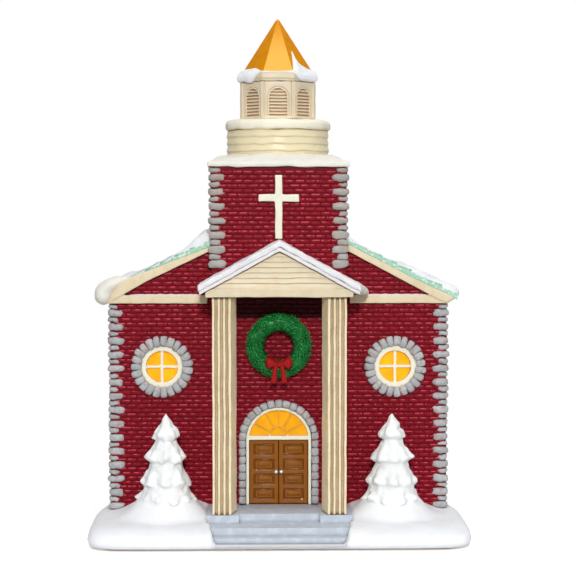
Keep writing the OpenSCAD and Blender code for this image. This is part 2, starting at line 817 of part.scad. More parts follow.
module door_knobs() {
    z = porch_z + door_h * 0.51;
    color("silver") for (s = [-1, 1]) translate([s * (stile * 0.55 + glue), -nave_front + 0.2 - glue, z]) {
        translate([0, -1.2, 0]) sphere(r = knob_r);
        rotate([90, 0, 0]) cylinder(h = 1, r = knob_r * 0.5);
    }
}

// Wreath hung on the wall, with its bow in front
wreath_y = -nave_front - glue - wreath_tube;

module wreath() {
    color("seagreen") translate([0, wreath_y, wreath_z]) rotate([90, 0, 0])
        rotate_extrude() translate([wreath_r, 0]) circle(r = wreath_tube);
}

bow_t = 1.5;
bow_y = wreath_y - wreath_tube - 0.2;
bow_z = wreath_z - wreath_r + 2.6;

module wreath_bow() {
    color("crimson") front_slab(bow_y - bow_t, bow_y) translate([0, bow_z]) {
        for (s = [-1, 1]) {
            translate([s * 3.1, 0.9]) circle(r = 2.1);
            polygon([[0, 0.8], [s * 3.6, 2.9], [s * 3.4, -1.1], [0, -0.8]]);
            polygon([[0, 0], [s * 1.1, 0], [s * 3.6, -7.4], [s * 2.4, -6.9], [s * 1.3, -7.9]]);
        }
        circle(r = 1.3);
    }
}

// Round windows: stone ring on the brick, cream frame in the wall, pane behind the cross bars
ring_t = 1.6;
ring_stones = 22;

module window_place() {
    translate([window_x, -nave_front, window_z]) rotate([90, 0, 0]) children();
}

module window_surround() {
    color("silver") window_place() translate([0, 0, glue]) difference() {
        cylinder(h = ring_t, r = window_ring_r);
        translate([0, 0, -1]) cylinder(h = ring_t + 2, r = window_frame_r + 2 * glue);
        for (i = [0:ring_stones - 1]) rotate(360 * i / ring_stones)
            block([window_frame_r - 0.5, -groove_w / 2, ring_t - groove_d],
                  [window_ring_r + 0.5, groove_w / 2, ring_t + 1]);
    }
}

module window_frame() {
    color("cornsilk") window_place() translate([0, 0, -wall_t + 1]) {
        difference() {
            cylinder(h = wall_t, r = window_frame_r);
            translate([0, 0, -1]) cylinder(h = wall_t + 2, r = pane_r);
        }
        intersection() {
            translate([0, 0, wall_t - 2]) cylinder(h = 1.4, r = pane_r + 0.4);
            union() {
                translate([-muntin / 2, -pane_r - 1, 0]) cube([muntin, 2 * pane_r + 2, wall_t]);
                translate([-pane_r - 1, -muntin / 2, 0]) cube([2 * pane_r + 2, muntin, wall_t]);
            }
        }
    }
}

module window_pane() {
    color("orange") window_place() translate([0, 0, -wall_t + 1.4])
        cylinder(h = wall_t - 2.4 - glue, r = pane_r - glue);
}

module window_surround_right() { window_surround(); }
module window_surround_left() { on_left() window_surround(); }
module window_frame_right() { window_frame(); }
module window_frame_left() { on_left() window_frame(); }
module window_pane_right() { window_pane(); }
module window_pane_left() { on_left() window_pane(); }

// Light unit: a plate in a rebate of the base's underside, with a battery box standing on it
plate_z = 0.8;                           // the plate lies clear of the table
plate_top = plate_z + plate_t;
recess_z = plate_top - 0.8;              // roof of the battery door's recess
rebate = 5;                              // ledge of the base that the plate is screwed to
door_lap = 2.5;                          // how far the door laps the battery opening
tongue_w = 1.2;                          // tongues along the battery door's sides
switch_hw = 4;
contact_t = 0.4;                         // sheet of the battery contacts
cell_pitch = cell_d + 1;
cell_z = recess_z + 0.2 + cell_d / 2;
comp_hw = cells_n * cell_pitch / 2 + 0.5;
comp_y0 = -10;                           // front of the battery compartment
comp_y1 = comp_y0 + cell_l + 6.3;
comp_z1 = cell_z + cell_d / 2 + 0.4;
cell_y0 = comp_y0 + glue + contact_t + 0.9;
box_top = comp_z1 + tray_t;
recess_hw = comp_hw + door_lap;
recess_y0 = comp_y0 - door_lap;
recess_y1 = comp_y1 + door_lap + door_travel + slide_gap;
switch_x = recess_hw + tongue_w + 2.5 + switch_hw;
switch_y = 13;
plate_hw = switch_x + switch_hw + 1.5 + rebate;
shaft_hw = plate_hw - rebate;
plate_y0 = comp_y0 - tray_t - 1 - rebate;
plate_y1 = max(recess_y1 + 1.5, comp_y1 + tray_t + 1 + rebate);

screw_r = 1;
screw_head_r = 1.8;
screw_head_t = 1.1;
screw_tip = 6.2;
screw_places = [for (x = [-1, 1], y = [plate_y0 + rebate / 2, plate_y1 - rebate / 2])
    [x * (plate_hw - rebate / 2), y]];

knob_l = 4;
knob_w = 2.4;
guide_l = 7;
switch_l = guide_l + switch_travel + 2 * slide_gap + 3;
switch_h = 6;

module light_tray() {
    color("dimgray") difference() {
        union() {
            block([-plate_hw, plate_y0, plate_z], [plate_hw, plate_y1, plate_top]);
            block([-comp_hw - tray_t, comp_y0 - tray_t, plate_top - 0.5],
                  [comp_hw + tray_t, comp_y1 + tray_t, box_top]);
        }
        block([-comp_hw, comp_y0, plate_z - 1], [comp_hw, comp_y1, comp_z1]);
        block([-recess_hw, recess_y0, plate_z - 1], [recess_hw, recess_y1, recess_z]);
        block([-recess_hw - tongue_w, recess_y0, plate_z + 0.5], [recess_hw + tongue_w, recess_y1, recess_z]);
        translate([switch_x, switch_y, 0])
            block([-knob_w / 2 - slide_gap, -(knob_l + switch_travel) / 2 - slide_gap, plate_z - 1],
                  [knob_w / 2 + slide_gap, (knob_l + switch_travel) / 2 + slide_gap, plate_top + 1]);
        for (p = screw_places) translate([p.x, p.y, plate_z - 1]) {
            cylinder(h = plate_t + 2, r = screw_r + 0.2);
            cylinder(h = 1 + screw_head_t + 0.2, r = screw_head_r + 0.2);
        }
    }
}

// Battery door: a flat slide with a tongue along each side and finger grooves
module battery_door() {
    hw = recess_hw - slide_gap;
    y0 = recess_y0 + slide_gap;
    y1 = comp_y1 + door_lap;
    color("gray") difference() {
        union() {
            block([-hw, y0, plate_z + 0.2], [hw, y1, recess_z - slide_gap]);
            block([-hw - tongue_w, y0, plate_z + 0.5 + slide_gap], [hw + tongue_w, y1, recess_z - slide_gap]);
        }
        for (i = [0:3]) translate([0, y1 - 5 - 2 * i, plate_z])
            block([-6, -0.5, -1], [6, 0.5, 0.5]);
    }
}

// Places of the cells, side by side
module each_cell() {
    for (i = [0:cells_n - 1]) translate([(i - (cells_n - 1) / 2) * cell_pitch, 0, cell_z]) children();
}

module cells() {
    color("darkgoldenrod") each_cell() rotate([-90, 0, 0]) {
        translate([0, 0, cell_y0]) cylinder(h = cell_l, r = cell_d / 2);
        translate([0, 0, cell_y0 - 0.8]) cylinder(h = 1, r = cell_d * 0.19);
    }
}

// Cone of wire wound from the rear contact to a cell's foot
spring_turns = 2.5;
spring_rings = 25;
spring_sides = 6;
wire_r = 0.35;

function spring_point(i, j, l) = let (
    t = i / spring_rings,
    turn = 360 * spring_turns * t,
    side = 360 * j / spring_sides,
    r = cell_d * (0.34 - 0.12 * t) + wire_r * cos(side)
) [r * cos(turn), wire_r + (l - 2 * wire_r) * t + wire_r * sin(side), r * sin(turn)];

module spring(l) {
    n = spring_sides;
    points = [for (i = [0:spring_rings], j = [0:n - 1]) spring_point(i, j, l)];
    walls = [for (i = [0:spring_rings - 1], j = [0:n - 1])
        [i * n + j, i * n + (j + 1) % n, (i + 1) * n + (j + 1) % n, (i + 1) * n + j]];
    ends = [[for (j = [n - 1:-1:0]) j], [for (j = [0:n - 1]) spring_rings * n + j]];
    polyhedron(points, concat(walls, ends));
}

module contact_springs() {
    foot = cell_y0 + cell_l + glue;
    color("silver") each_cell() translate([0, foot, 0]) spring(comp_y1 - glue - contact_t - glue - foot);
}

module contact_plates() {
    color("silver") for (y = [comp_y0 + glue, comp_y1 - glue - contact_t])
        block([-comp_hw + 0.3, y, cell_z - cell_d * 0.4], [comp_hw - 0.3, y + contact_t, cell_z + cell_d * 0.4]);
}

// Switch: a box on the plate, and a slider whose knob hangs in a slot of the plate
module switch_body() {
    color("black") translate([switch_x, switch_y, plate_top + glue]) difference() {
        block([-switch_hw, -switch_l / 2, 0], [switch_hw, switch_l / 2, switch_h]);
        block([-3, -(guide_l + switch_travel) / 2 - slide_gap, -1],
              [3, (guide_l + switch_travel) / 2 + slide_gap, 2.2]);
    }
}

module switch_slider() {
    y = switch_y - switch_travel / 2;
    color("white") translate([switch_x, y, 0]) {
        block([-knob_w / 2, -knob_l / 2, plate_z + 0.3], [knob_w / 2, knob_l / 2, plate_top + 1]);
        block([-3 + slide_gap, -guide_l / 2, plate_top + slide_gap],
              [3 - slide_gap, guide_l / 2, plate_top + 2.2 - slide_gap]);
    }
}

// Lamp on a small board on top of the battery box
board_t = 1.6;
lamp_r = 2.5;
lamp_y = (comp_y0 + comp_y1) / 2;

module lamp_board() {
    color("darkgreen") translate([0, lamp_y, box_top + glue])
        block([-9, -6, 0], [9, 6, board_t]);
}

module lamp() {
    color("ivory") translate([0, lamp_y, box_top + board_t + 2 * glue]) {
        cylinder(h = 1, r = lamp_r + 0.4);
        cylinder(h = 6, r = lamp_r);
        translate([0, 0, 6]) sphere(r = lamp_r);
    }
}

module tray_screws() {
    color("silver") for (p = screw_places) translate([p.x, p.y, plate_z + 0.1]) {
        cylinder(h = screw_head_t, r = screw_head_r);
        cylinder(h = screw_tip - plate_z - 0.1, r = screw_r);
    }
}

snow_base();
porch_steps();
tree_left();
tree_right();
nave_walls();
quoins_front_left();
quoins_front_right();
quoins_rear_left();
quoins_rear_right();
gable_trim_front();
gable_trim_rear();
roof_left();
roof_right();
roof_snow_left();
roof_snow_right();
tower_walls();
tower_quoins_front_left();
tower_quoins_front_right();
tower_quoins_rear_left();
tower_quoins_rear_right();
tower_snow();
cross();
belfry_drum();
drum_snow_rim();
belfry();
belfry_cornice();
cornice_snow();
spire();
column_left();
column_right();
portico_pediment();
portico_roof();
portico_snow();
door_surround();
door_frame();
door_leaf_left();
door_leaf_right();
door_knobs();
fanlight_pane();
wreath();
wreath_bow();
window_surround_left();
window_surround_right();
window_frame_left();
window_frame_right();
window_pane_left();
window_pane_right();
light_tray();
battery_door();
cells();
contact_springs();
contact_plates();
switch_body();
switch_slider();
lamp_board();
lamp();
tray_screws();
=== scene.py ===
"""Lit village church ornament: painted castings on a snow base, dressed in the order it is built."""
import math
import random

import bmesh
import bpy
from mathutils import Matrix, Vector, noise


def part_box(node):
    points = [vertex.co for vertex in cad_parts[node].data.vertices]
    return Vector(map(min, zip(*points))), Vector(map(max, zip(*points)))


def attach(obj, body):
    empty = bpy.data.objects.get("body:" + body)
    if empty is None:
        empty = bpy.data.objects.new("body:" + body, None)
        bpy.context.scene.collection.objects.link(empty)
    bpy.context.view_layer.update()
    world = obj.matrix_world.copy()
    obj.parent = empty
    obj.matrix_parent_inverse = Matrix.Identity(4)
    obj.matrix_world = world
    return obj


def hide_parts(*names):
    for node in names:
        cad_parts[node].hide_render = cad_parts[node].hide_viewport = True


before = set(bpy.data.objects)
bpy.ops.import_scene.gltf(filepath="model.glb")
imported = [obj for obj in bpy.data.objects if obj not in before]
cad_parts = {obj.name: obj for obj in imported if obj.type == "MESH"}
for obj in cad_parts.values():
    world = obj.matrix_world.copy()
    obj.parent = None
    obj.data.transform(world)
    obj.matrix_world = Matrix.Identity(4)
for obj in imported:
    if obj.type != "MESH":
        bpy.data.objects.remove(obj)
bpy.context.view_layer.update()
noise.seed_set(21)         # without it the waves in the castings differ in every run
MM = 0.001
BODY = "church"
SIDES = ((-1, "left"), (1, "right"))

# Studio: a pale floor under a white sky, a small lamp in front and soft ones above, right and behind.
# The camera stands a little left of the middle and looks slightly down, as for a catalogue picture.
TARGET = Vector((3.9, -15.0, 95.4)) * MM
VIEW_AZIMUTH = math.radians(-1.2)
VIEW_ELEVATION = math.radians(3.2)
VIEW_DISTANCE = 0.62
LENS_MM = 96.9


def added(name, data):
    """A new object in the scene."""
    made = bpy.data.objects.new(name, data)
    bpy.context.scene.collection.objects.link(made)
    return made


toward = Vector((math.sin(VIEW_AZIMUTH) * math.cos(VIEW_ELEVATION),
                 -math.cos(VIEW_AZIMUTH) * math.cos(VIEW_ELEVATION),
                 math.sin(VIEW_ELEVATION)))
camera = added("camera", bpy.data.cameras.new("camera"))
camera.data.lens = LENS_MM
camera.data.sensor_width = 36.0
camera.data.clip_start = 0.01
camera.location = TARGET + toward * VIEW_DISTANCE
camera.rotation_euler = (-toward).to_track_quat("-Z", "Y").to_euler()
bpy.context.scene.camera = camera
bpy.context.scene.view_settings.view_transform = "Standard"
# Place and size in metres, and watts, of the square soft boxes that face the middle of the church
LAMPS = {"key_lamp": ((-0.02, -0.98, 0.45), 0.09, 6.8), "top_lamp": ((0.0, -0.40, 1.15), 0.8, 4.6),
         "right_lamp": ((0.95, -0.55, 0.55), 0.7, 1.2), "rear_lamp": ((0.2, 0.9, 0.8), 0.7, 2.0)}
for name, (place, size, watts) in LAMPS.items():
    lamp = added(name, bpy.data.lights.new(name, "AREA"))
    lamp.data.size = size
    lamp.data.energy = watts
    lamp.location = place
    lamp.rotation_euler = (TARGET - Vector(place)).to_track_quat("-Z", "Y").to_euler()


def feed(tree, socket, value):
    """Links an output to an input, or gives the input a plain value."""
    if isinstance(value, bpy.types.NodeSocket):
        tree.links.new(value, socket)
    else:
        socket.default_value = value


def node(tree, kind, feeds=None, **values):
    """A node with its plain properties set and some of its inputs, by name or number, fed."""
    made = tree.nodes.new(kind)
    for key, value in values.items():
        setattr(made, key, value)
    for key, value in (feeds or {}).items():
        feed(tree, made.inputs[key], value)
    return made


def looking_rays(tree):
    """1 for the rays that look at the background, straight, in a reflection or through glass."""
    path = node(tree, "ShaderNodeLightPath").outputs
    seen = path["Is Camera Ray"]
    for kind in ("Is Glossy Ray", "Is Transmission Ray"):
        seen = node(tree, "ShaderNodeMath", {0: seen, 1: path[kind]}, operation="MAXIMUM").outputs[0]
    return seen


def start_paint(name, roughness, coat=0.0, specular=0.14):
    """A material with its Principled shader, its tree and the object's own coordinates."""
    material = bpy.data.materials.new(name)
    material.use_nodes = True
    tree = material.node_tree
    shader = tree.nodes["Principled BSDF"]
    shader.inputs["Roughness"].default_value = roughness
    shader.inputs["Specular IOR Level"].default_value = specular
    shader.inputs["Coat Weight"].default_value = coat
    shader.inputs["Coat Roughness"].default_value = 0.25
    return material, tree, shader, node(tree, "ShaderNodeTexCoord").outputs["Object"]


def ramp(tree, value, low, high):
    """value stretched so that low becomes 0 and high becomes 1."""
    return node(tree, "ShaderNodeMapRange", {"Value": value, "From Min": low, "From Max": high},
                interpolation_type="SMOOTHSTEP").outputs[0]


def times(tree, first, second):
    return node(tree, "ShaderNodeMath", {0: first, 1: second}, operation="MULTIPLY").outputs[0]


def mesh_piece(name, verts, faces, material, smooth=True):
    """A mesh object at the origin with its place in its vertices."""
    mesh = bpy.data.meshes.new(name)
    mesh.from_pydata([tuple(v) for v in verts], [], faces)
    mesh.update()
    if material:
        mesh.materials.append(material)
    for polygon in mesh.polygons:
        polygon.use_smooth = smooth
    return added(name, mesh)


SKY_LIGHT = 0.26
world = bpy.data.worlds.new("white_sky")
bpy.context.scene.world = world
world.use_nodes = True
sky = world.node_tree
sky.nodes.clear()
level = node(sky, "ShaderNodeMapRange", {"To Min": SKY_LIGHT, "Value": looking_rays(sky)})
shine = node(sky, "ShaderNodeBackground", {"Color": (1, 1, 1, 1), "Strength": level.outputs[0]})
node(sky, "ShaderNodeOutputWorld", {"Surface": shine.outputs[0]})

FLOOR_GREY = (0.93, 0.93, 0.93, 1)
FLOOR_GLOW = 0.42            # lifts the floor to white in the picture, and lights nothing
FLOOR_FADES = (0.09, 0.26)   # from solid to clear, in metres from the middle; the white sky takes over
FLOOR = 0.6
HOLE = (0.058, 0.050)        # half sizes; open under the base, so that the underside shows from below
FLOOR_TOP = -0.0001          # a hair under the base, so that the two flat faces do not share a plane
floor_paint, floor_tree, floor_shader, floor_place = start_paint("floor_paint", 0.9, specular=0.0)
for label, value in (("Base Color", FLOOR_GREY), ("Emission Color", (1, 1, 1, 1)),
                     ("Emission Strength", times(floor_tree, looking_rays(floor_tree), FLOOR_GLOW))):
    feed(floor_tree, floor_shader.inputs[label], value)
away = node(floor_tree, "ShaderNodeVectorMath", {0: floor_place}, operation="LENGTH")
clear = node(floor_tree, "ShaderNodeBsdfTransparent")
faded = ramp(floor_tree, away.outputs["Value"], *FLOOR_FADES)
part_clear = node(floor_tree, "ShaderNodeMixShader",
                  {0: faded, 1: floor_shader.outputs[0], 2: clear.outputs[0]})
feed(floor_tree, floor_tree.nodes["Material Output"].inputs["Surface"], part_clear.outputs[0])
floor_corners = [(sx * reach_x, sy * reach_y, FLOOR_TOP) for reach_x, reach_y in ((FLOOR, FLOOR), HOLE)
                 for sx, sy in ((-1, -1), (1, -1), (1, 1), (-1, 1))]
floor = mesh_piece("floor", floor_corners, [(k, (k + 1) % 4, 4 + (k + 1) % 4, 4 + k) for k in range(4)],
                   floor_paint, smooth=False)

# Snow base: a cast loaf of snow that carries everything, white glaze with glitter in it.
# Its underside is bare tan clay, which shows as a thin line at the table.
SNOW_WHITE = (0.83, 0.842, 0.86, 1)
SNOW_SHADE = (0.70, 0.75, 0.83, 1)
CLAY_TAN = (0.50, 0.30, 0.14, 1)
CLAY_PALE = (0.62, 0.42, 0.24, 1)


def cloud(tree, place, size_mm, detail=3.0):
    """Soft noise from 0 to 1 whose blotches are about size_mm across."""
    return node(tree, "ShaderNodeTexNoise", {"Scale": 1.0 / (size_mm * MM), "Detail": detail,
                                             "Vector": place}).outputs["Fac"]


def blend_colour(tree, share, first, second):
    """first turned into second by share; each is a plain value or an output."""
    return node(tree, "ShaderNodeMix", {0: share, 6: first, 7: second}, data_type="RGBA").outputs[2]


def crevice(tree, reach_mm, low=0.35, high=0.95):
    """1 in grooves narrower than about reach_mm, 0 on open faces."""
    made = node(tree, "ShaderNodeAmbientOcclusion", {"Distance": reach_mm * MM}, samples=6)
    return ramp(tree, made.outputs["AO"], high, low)


def raise_grain(tree, shader, height, depth_mm, strength=1.0):
    """Fine relief on the shader's normal."""
    made = node(tree, "ShaderNodeBump", {"Distance": depth_mm * MM, "Strength": strength, "Height": height})
    feed(tree, shader.inputs["Normal"], made.outputs["Normal"])


GLINT_CELL = 0.8 * MM      # one grain of glitter may lie in each
GLINTS_FROM = (0.90, 0.91)   # about a tenth of the cells hold one


def snow_paint(name, white=SNOW_WHITE, shade=SNOW_SHADE):
    """Chalky white glaze with faint blue blotches, painted blue shade in the hollows, and grains of glitter.
    """
    material, tree, shader, place = start_paint(name, 0.55)
    body = blend_colour(tree, ramp(tree, cloud(tree, place, 5.0), 0.35, 0.7), white, shade)
    evened = blend_colour(tree, 0.72, body, white)
    # Painted shade: the hollows are tinted with the shade colour.
    shaded_hollows = blend_colour(tree, times(tree, crevice(tree, 4.0, 0.3, 0.9), 0.35), evened, shade)
    grains = node(tree, "ShaderNodeTexVoronoi", {"Scale": 1.0 / GLINT_CELL, "Vector": place}, feature="F1")
    picked = node(tree, "ShaderNodeSeparateColor", {"Color": grains.outputs["Color"]})
    glint = times(tree, ramp(tree, picked.outputs["Red"], *GLINTS_FROM),
                  ramp(tree, grains.outputs["Distance"], 0.34, 0.22))
    rough = node(tree, "ShaderNodeMapRange", {"To Min": 0.6, "To Max": 0.12, "Value": glint})
    feed(tree, shader.inputs["Base Color"], shaded_hollows)
    feed(tree, shader.inputs["Roughness"], rough.outputs[0])
    raise_grain(tree, shader, cloud(tree, place, 0.9, 4.0), 0.25, 0.55)
    return material


def put_on(node_names, material):
    """Gives CAD nodes a finish."""
    for name in node_names:
        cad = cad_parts[name]
        cad.data.materials.clear()
        cad.data.materials.append(material)


def dress(piece, cad_name=None):
    """Fixes a piece to the church, in place of a CAD node where it stands for one."""
    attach(piece, BODY)
    if cad_name:
        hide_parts(cad_name)


def smoothstep(low, high, value):
    t = min(max((value - low) / (high - low), 0.0), 1.0)
    return t * t * (3.0 - 2.0 * t)


def ripple(x, y, size, seed=0.0):
    """Smooth noise from -1 to 1 with hills about size across."""
    return noise.noise(Vector((x / size, y / size, seed * 7.31)))


def sheet_faces(rows, columns, first=0):
    """Faces of a sheet whose points lie row by row."""
    stride = columns + 1
    starts = [first + j * stride + i for j in range(rows) for i in range(columns)]
    return [(a, a + 1, a + stride + 1, a + stride) for a in starts]


def sheet_rim(rows, columns):
    """The points round the edge of such a sheet, in turn."""
    stride = columns + 1
    rim = list(range(stride)) + [j * stride + columns for j in range(1, rows + 1)]
    rim += [rows * stride + i for i in range(columns - 1, -1, -1)]
    return rim + [j * stride for j in range(rows - 1, 0, -1)]


clay, clay_tree, clay_shader, clay_place = start_paint("bare_clay", 0.85)
clay_colour = blend_colour(clay_tree, cloud(clay_tree, clay_place, 2.0), CLAY_TAN, CLAY_PALE)
feed(clay_tree, clay_shader.inputs["Base Color"], clay_colour)
raise_grain(clay_tree, clay_shader, cloud(clay_tree, clay_place, 0.4), 0.1)
put_on(["snow_base"], clay)
snow = snow_paint("glitter_snow")

base_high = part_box("snow_base")[1]
base_top = base_high.z
steps_low, steps_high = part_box("porch_steps")
wall_low, wall_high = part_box("nave_walls")
tree_boxes = [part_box("tree_" + word) for side, word in SIDES]
tree_spots = [Vector(((low.x + high.x) / 2, low.y + (high.x - low.x) / 2, low.z)) for low, high in tree_boxes]
RIM_SHOWS = 1.1 * MM       # bare clay left below the snow
SNOW_SKIN = 0.5 * MM       # the snow lies over the clay by this much
EDGE = 0.82                # where the loaf starts to round over, as a share of the plan
BASE_SQUARENESS = 14.0
SIDE_FALL = 5.8 * MM        # how far the loaf draws in from its rim to its top, at the sides and the back
FRONT_FALL = 12.8 * MM      # and at the front
BASE_DRAW = 3.2 * MM        # the loaf is narrower beside the walls
LIP_SNOW = 1.6 * MM         # snow in front of the lowest step
RIM_Z = 3.0 * MM            # height of the loaf's widest line
MOUND = 4.6 * MM            # snow heaped round the foot of a tree and against the wall behind it
FOOT_HEAP = 3.6 * MM        # more of it close to the tree, up to its lowest boughs


def base_plan(u, v):
    """A point of the square from -1 to 1 moved onto the loaf's rounded plan."""
    reach = max(abs(u), abs(v))
    if reach == 0.0:
        return 0.0, 0.0
    corner = (abs(u) ** BASE_SQUARENESS + abs(v) ** BASE_SQUARENESS) ** (1.0 / BASE_SQUARENESS)
    return u * reach / corner, v * reach / corner


def snow_height(x, y):
    """Top of the snow inside the rounded edge: gentle drifts, and mounds at the trees."""
    top = base_top + SNOW_SKIN + 0.45 * MM * ripple(x, y, 14 * MM, 1) + 0.25 * MM * ripple(x, y, 5 * MM, 2)
    for spot in tree_spots:
        ahead = max(0.0, spot.y - y)
        away = math.hypot(x - spot.x, ahead * 1.25)
        top += MOUND * (1.0 - smoothstep(7 * MM, 22 * MM, away))
        top += FOOT_HEAP * (1.0 - smoothstep(8 * MM, 16 * MM, math.hypot(x - spot.x, y - spot.y)))
    return top


def snow_cut(x, y):
    """1 where the steps come through the snow, 0 on the open snow; the opening narrows to the front."""
    side = steps_high.x - 1.1 * MM + 0.5 * MM * ripple(y, 0.0, 5 * MM, 3 if x > 0 else 4)
    side -= 1.6 * MM * smoothstep(-48 * MM, -60 * MM, y)
    across = 1.0 - smoothstep(side - 0.6 * MM, side + 0.9 * MM, abs(x))
    return across * (1.0 - smoothstep(wall_low.y - 0.2 * MM, wall_low.y + 0.4 * MM, y))


COLUMNS = 152
ROWS = 132
DRAWN_FROM = (-25 * MM, -5 * MM)   # the loaf grows narrower between these, towards the back
# Rings below the rim, as shares of it, each with its height; the last turns in under the snow.
SKIRT = ((0.997, 2.4 * MM), (0.990, RIM_SHOWS), (0.955, RIM_SHOWS + 0.2 * MM))
snow_verts = []
for j in range(ROWS + 1):
    for i in range(COLUMNS + 1):
        u = -1.0 + 2.0 * i / COLUMNS
        v = -1.0 + 2.0 * j / ROWS
        px, py = base_plan(u, v)
        reach = max(abs(u), abs(v), 1e-6)
        drawn_in = min(1.0, (1.0 - reach) / (1.0 - EDGE))
        inner = min(1.0, reach / EDGE) / reach
        fall_y = FRONT_FALL if v < 0 else SIDE_FALL
        y = py * inner * (base_high.y + SNOW_SKIN - fall_y * drawn_in)
        half_w = base_high.x + SNOW_SKIN - BASE_DRAW * smoothstep(*DRAWN_FROM, y)
        x = px * inner * (half_w - SIDE_FALL * drawn_in)
        z = RIM_Z + (snow_height(x, y) - RIM_Z) * math.sqrt(1.0 - (1.0 - drawn_in) ** 2)
        in_front = 1.0 - smoothstep(steps_low.y - 0.2 * MM, steps_low.y + 1.0 * MM, y)
        z += (0.5 * MM + LIP_SNOW * in_front - z) * snow_cut(x, y)
        snow_verts.append((x, y, z))
snow_faces = sheet_faces(ROWS, COLUMNS)
rim = sheet_rim(ROWS, COLUMNS)
above = rim
for share, level_z in SKIRT:
    below = []
    for k in rim:
        x, y, z = snow_verts[k]
        below.append(len(snow_verts))
        snow_verts.append((x * share, y * share, min(z, level_z)))
    for k in range(len(rim)):
        n = (k + 1) % len(rim)
        snow_faces.append((above[k], below[k], below[n], above[n]))
    above = below
dress(mesh_piece("snow_blanket", snow_verts, snow_faces, snow))

# Porch steps: one casting of treads, porch floor and two cheek blocks, painted blue-grey.
# Its edges are rounded by the mould, and the paint is paler in patches.
STEP_GREY = (0.46, 0.51, 0.57, 1)
STEP_PALE = (0.60, 0.66, 0.74, 1)
STEP_DARK = (0.20, 0.20, 0.23, 1)
WELD = 0.002 * MM          # points of a CAD mesh this close are one


def finish_modifiers(piece):
    """Turns a piece's modifiers into plain mesh."""
    bpy.context.view_layer.update()
    evaluated = piece.evaluated_get(bpy.context.evaluated_depsgraph_get())
    mesh = bpy.data.meshes.new_from_object(evaluated)
    piece.modifiers.clear()
    piece.data = mesh


def cad_shape(cad_name):
    """An editable copy of a CAD node's mesh with its loose triangles joined."""
    shape = bmesh.new()
    shape.from_mesh(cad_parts[cad_name].data)
    bmesh.ops.remove_doubles(shape, verts=shape.verts, dist=WELD)
    return shape


def shape_piece(name, shape, material=None):
    """A piece from an edited shape, which is used up."""
    mesh = bpy.data.meshes.new(name)
    shape.to_mesh(mesh)
    shape.free()
    if material:
        mesh.materials.append(material)
    return added(name, mesh)


def softened(name, cad_name, material, width_mm, segments):
    """A copy of a CAD node with its edges rounded as a mould and paint leave them."""
    shape = cad_shape(cad_name)
    bmesh.ops.dissolve_limit(shape, angle_limit=math.radians(1.0), verts=shape.verts, edges=shape.edges)
    piece = shape_piece(name, shape, material)
    bevel = piece.modifiers.new("round", "BEVEL")
    bevel.width = width_mm * MM
    bevel.segments = segments
    bevel.limit_method = "ANGLE"
    bevel.angle_limit = math.radians(28)
    finish_modifiers(piece)
    piece.data.shade_smooth()
    piece.data.set_sharp_from_angle(angle=math.radians(35))
    dress(piece, cad_name)


def washed_paint(name, colour, wash, reach_mm, roughness, mottle, tint, grain_mm=0.5, strength=0.8,
                 open_sky=0.95):
    """Satin paint with a thin dark wash left in the grooves and uneven coverage on the faces."""
    material, tree, shader, place = start_paint(name, roughness, coat=0.1)
    blotches = times(tree, ramp(tree, cloud(tree, place, 3.5), 0.4, 0.75), mottle)
    faces = blend_colour(tree, blotches, colour, tint)
    thin = times(tree, ramp(tree, cloud(tree, place, 0.8), 0.5, 0.8), 0.25)
    streaks = blend_colour(tree, thin, faces, tint)
    grooves = times(tree, crevice(tree, reach_mm, 0.35, open_sky), strength)
    feed(tree, shader.inputs["Base Color"], blend_colour(tree, grooves, streaks, wash))
    raise_grain(tree, shader, cloud(tree, place, grain_mm, 4.0), 0.08, 0.5)
    return material


step_paint = washed_paint("step_paint", STEP_GREY, STEP_DARK, 1.6, 0.5, 0.7, STEP_PALE)
softened("steps", "porch_steps", step_paint, 0.45, 3)

# Trees: two small firs cast in one piece with their load of snow, white glaze with pale grey painted shade in
# the hollows.
# Each has tiers of drooping pointed boughs that grow smaller to the tip, and stands in a mound of the base.
tree_snow = snow_paint("tree_snow", (0.82, 0.835, 0.83, 1), (0.70, 0.73, 0.76, 1))
# Each tier: where it starts and where its tips end, as shares of the height from the top,
# each with the radius there in mm, and its boughs, an even count so that two point to the sides.
TIERS = ((0.0, 0.3, 0.215, 5.7, 6), (0.25, 3.5, 0.435, 8.4, 8), (0.475, 5.8, 0.665, 10.3, 8),
         (0.70, 7.8, 0.82, 11.9, 10))
# Radius in mm of the trunk, and share of the height from the top
TRUNK = ((0.3, 0.0), (3.6, 0.26), (6.5, 0.5), (8.8, 0.72), (11.2, 0.88), (12.5, 1.0))
# From a tier's neck over its tips to its hollow underside: shares of its fall and of its spread
TIER_PROFILE = ((0.0, 0.0), (0.3, 0.27), (0.6, 0.57), (0.85, 0.88), (1.0, 1.0), (1.12, 0.85), (1.2, 0.3))
AROUND = 72
TRUNK_AROUND = 16


def lofted(shape, rings):
    """A closed skin through rings of points, with a flat face at both ends."""
    count = len(rings[0])
    made = [[shape.verts.new(p) for p in ring] for ring in rings]
    for upper, lower in zip(made, made[1:]):
        for k in range(count):
            n = (k + 1) % count
            shape.faces.new((upper[k], lower[k], lower[n], upper[n]))
    shape.faces.new(made[0][::-1])
    shape.faces.new(made[-1])


def melted(name, shape, voxel_mm, rounds, material):
    """Overlapping lumps run together into one smooth skin."""
    bmesh.ops.recalc_face_normals(shape, faces=shape.faces)
    piece = shape_piece(name, shape, material)
    skin = piece.modifiers.new("skin", "REMESH")
    skin.mode = "VOXEL"
    skin.voxel_size = voxel_mm * MM
    piece.modifiers.new("smooth", "SMOOTH").iterations = rounds
    finish_modifiers(piece)
    piece.data.shade_smooth()
    return piece


def roughen(piece, amount_mm, cell_mm):
    """Pushes a mesh in and out a little, so that no two repeats are alike."""
    for vertex in piece.data.vertices:
        vertex.co += noise.noise_vector(vertex.co / (cell_mm * MM)) * amount_mm * MM
    piece.data.update()


def polar(r, angle, z):
    return Vector((r * math.cos(angle), r * math.sin(angle), z))


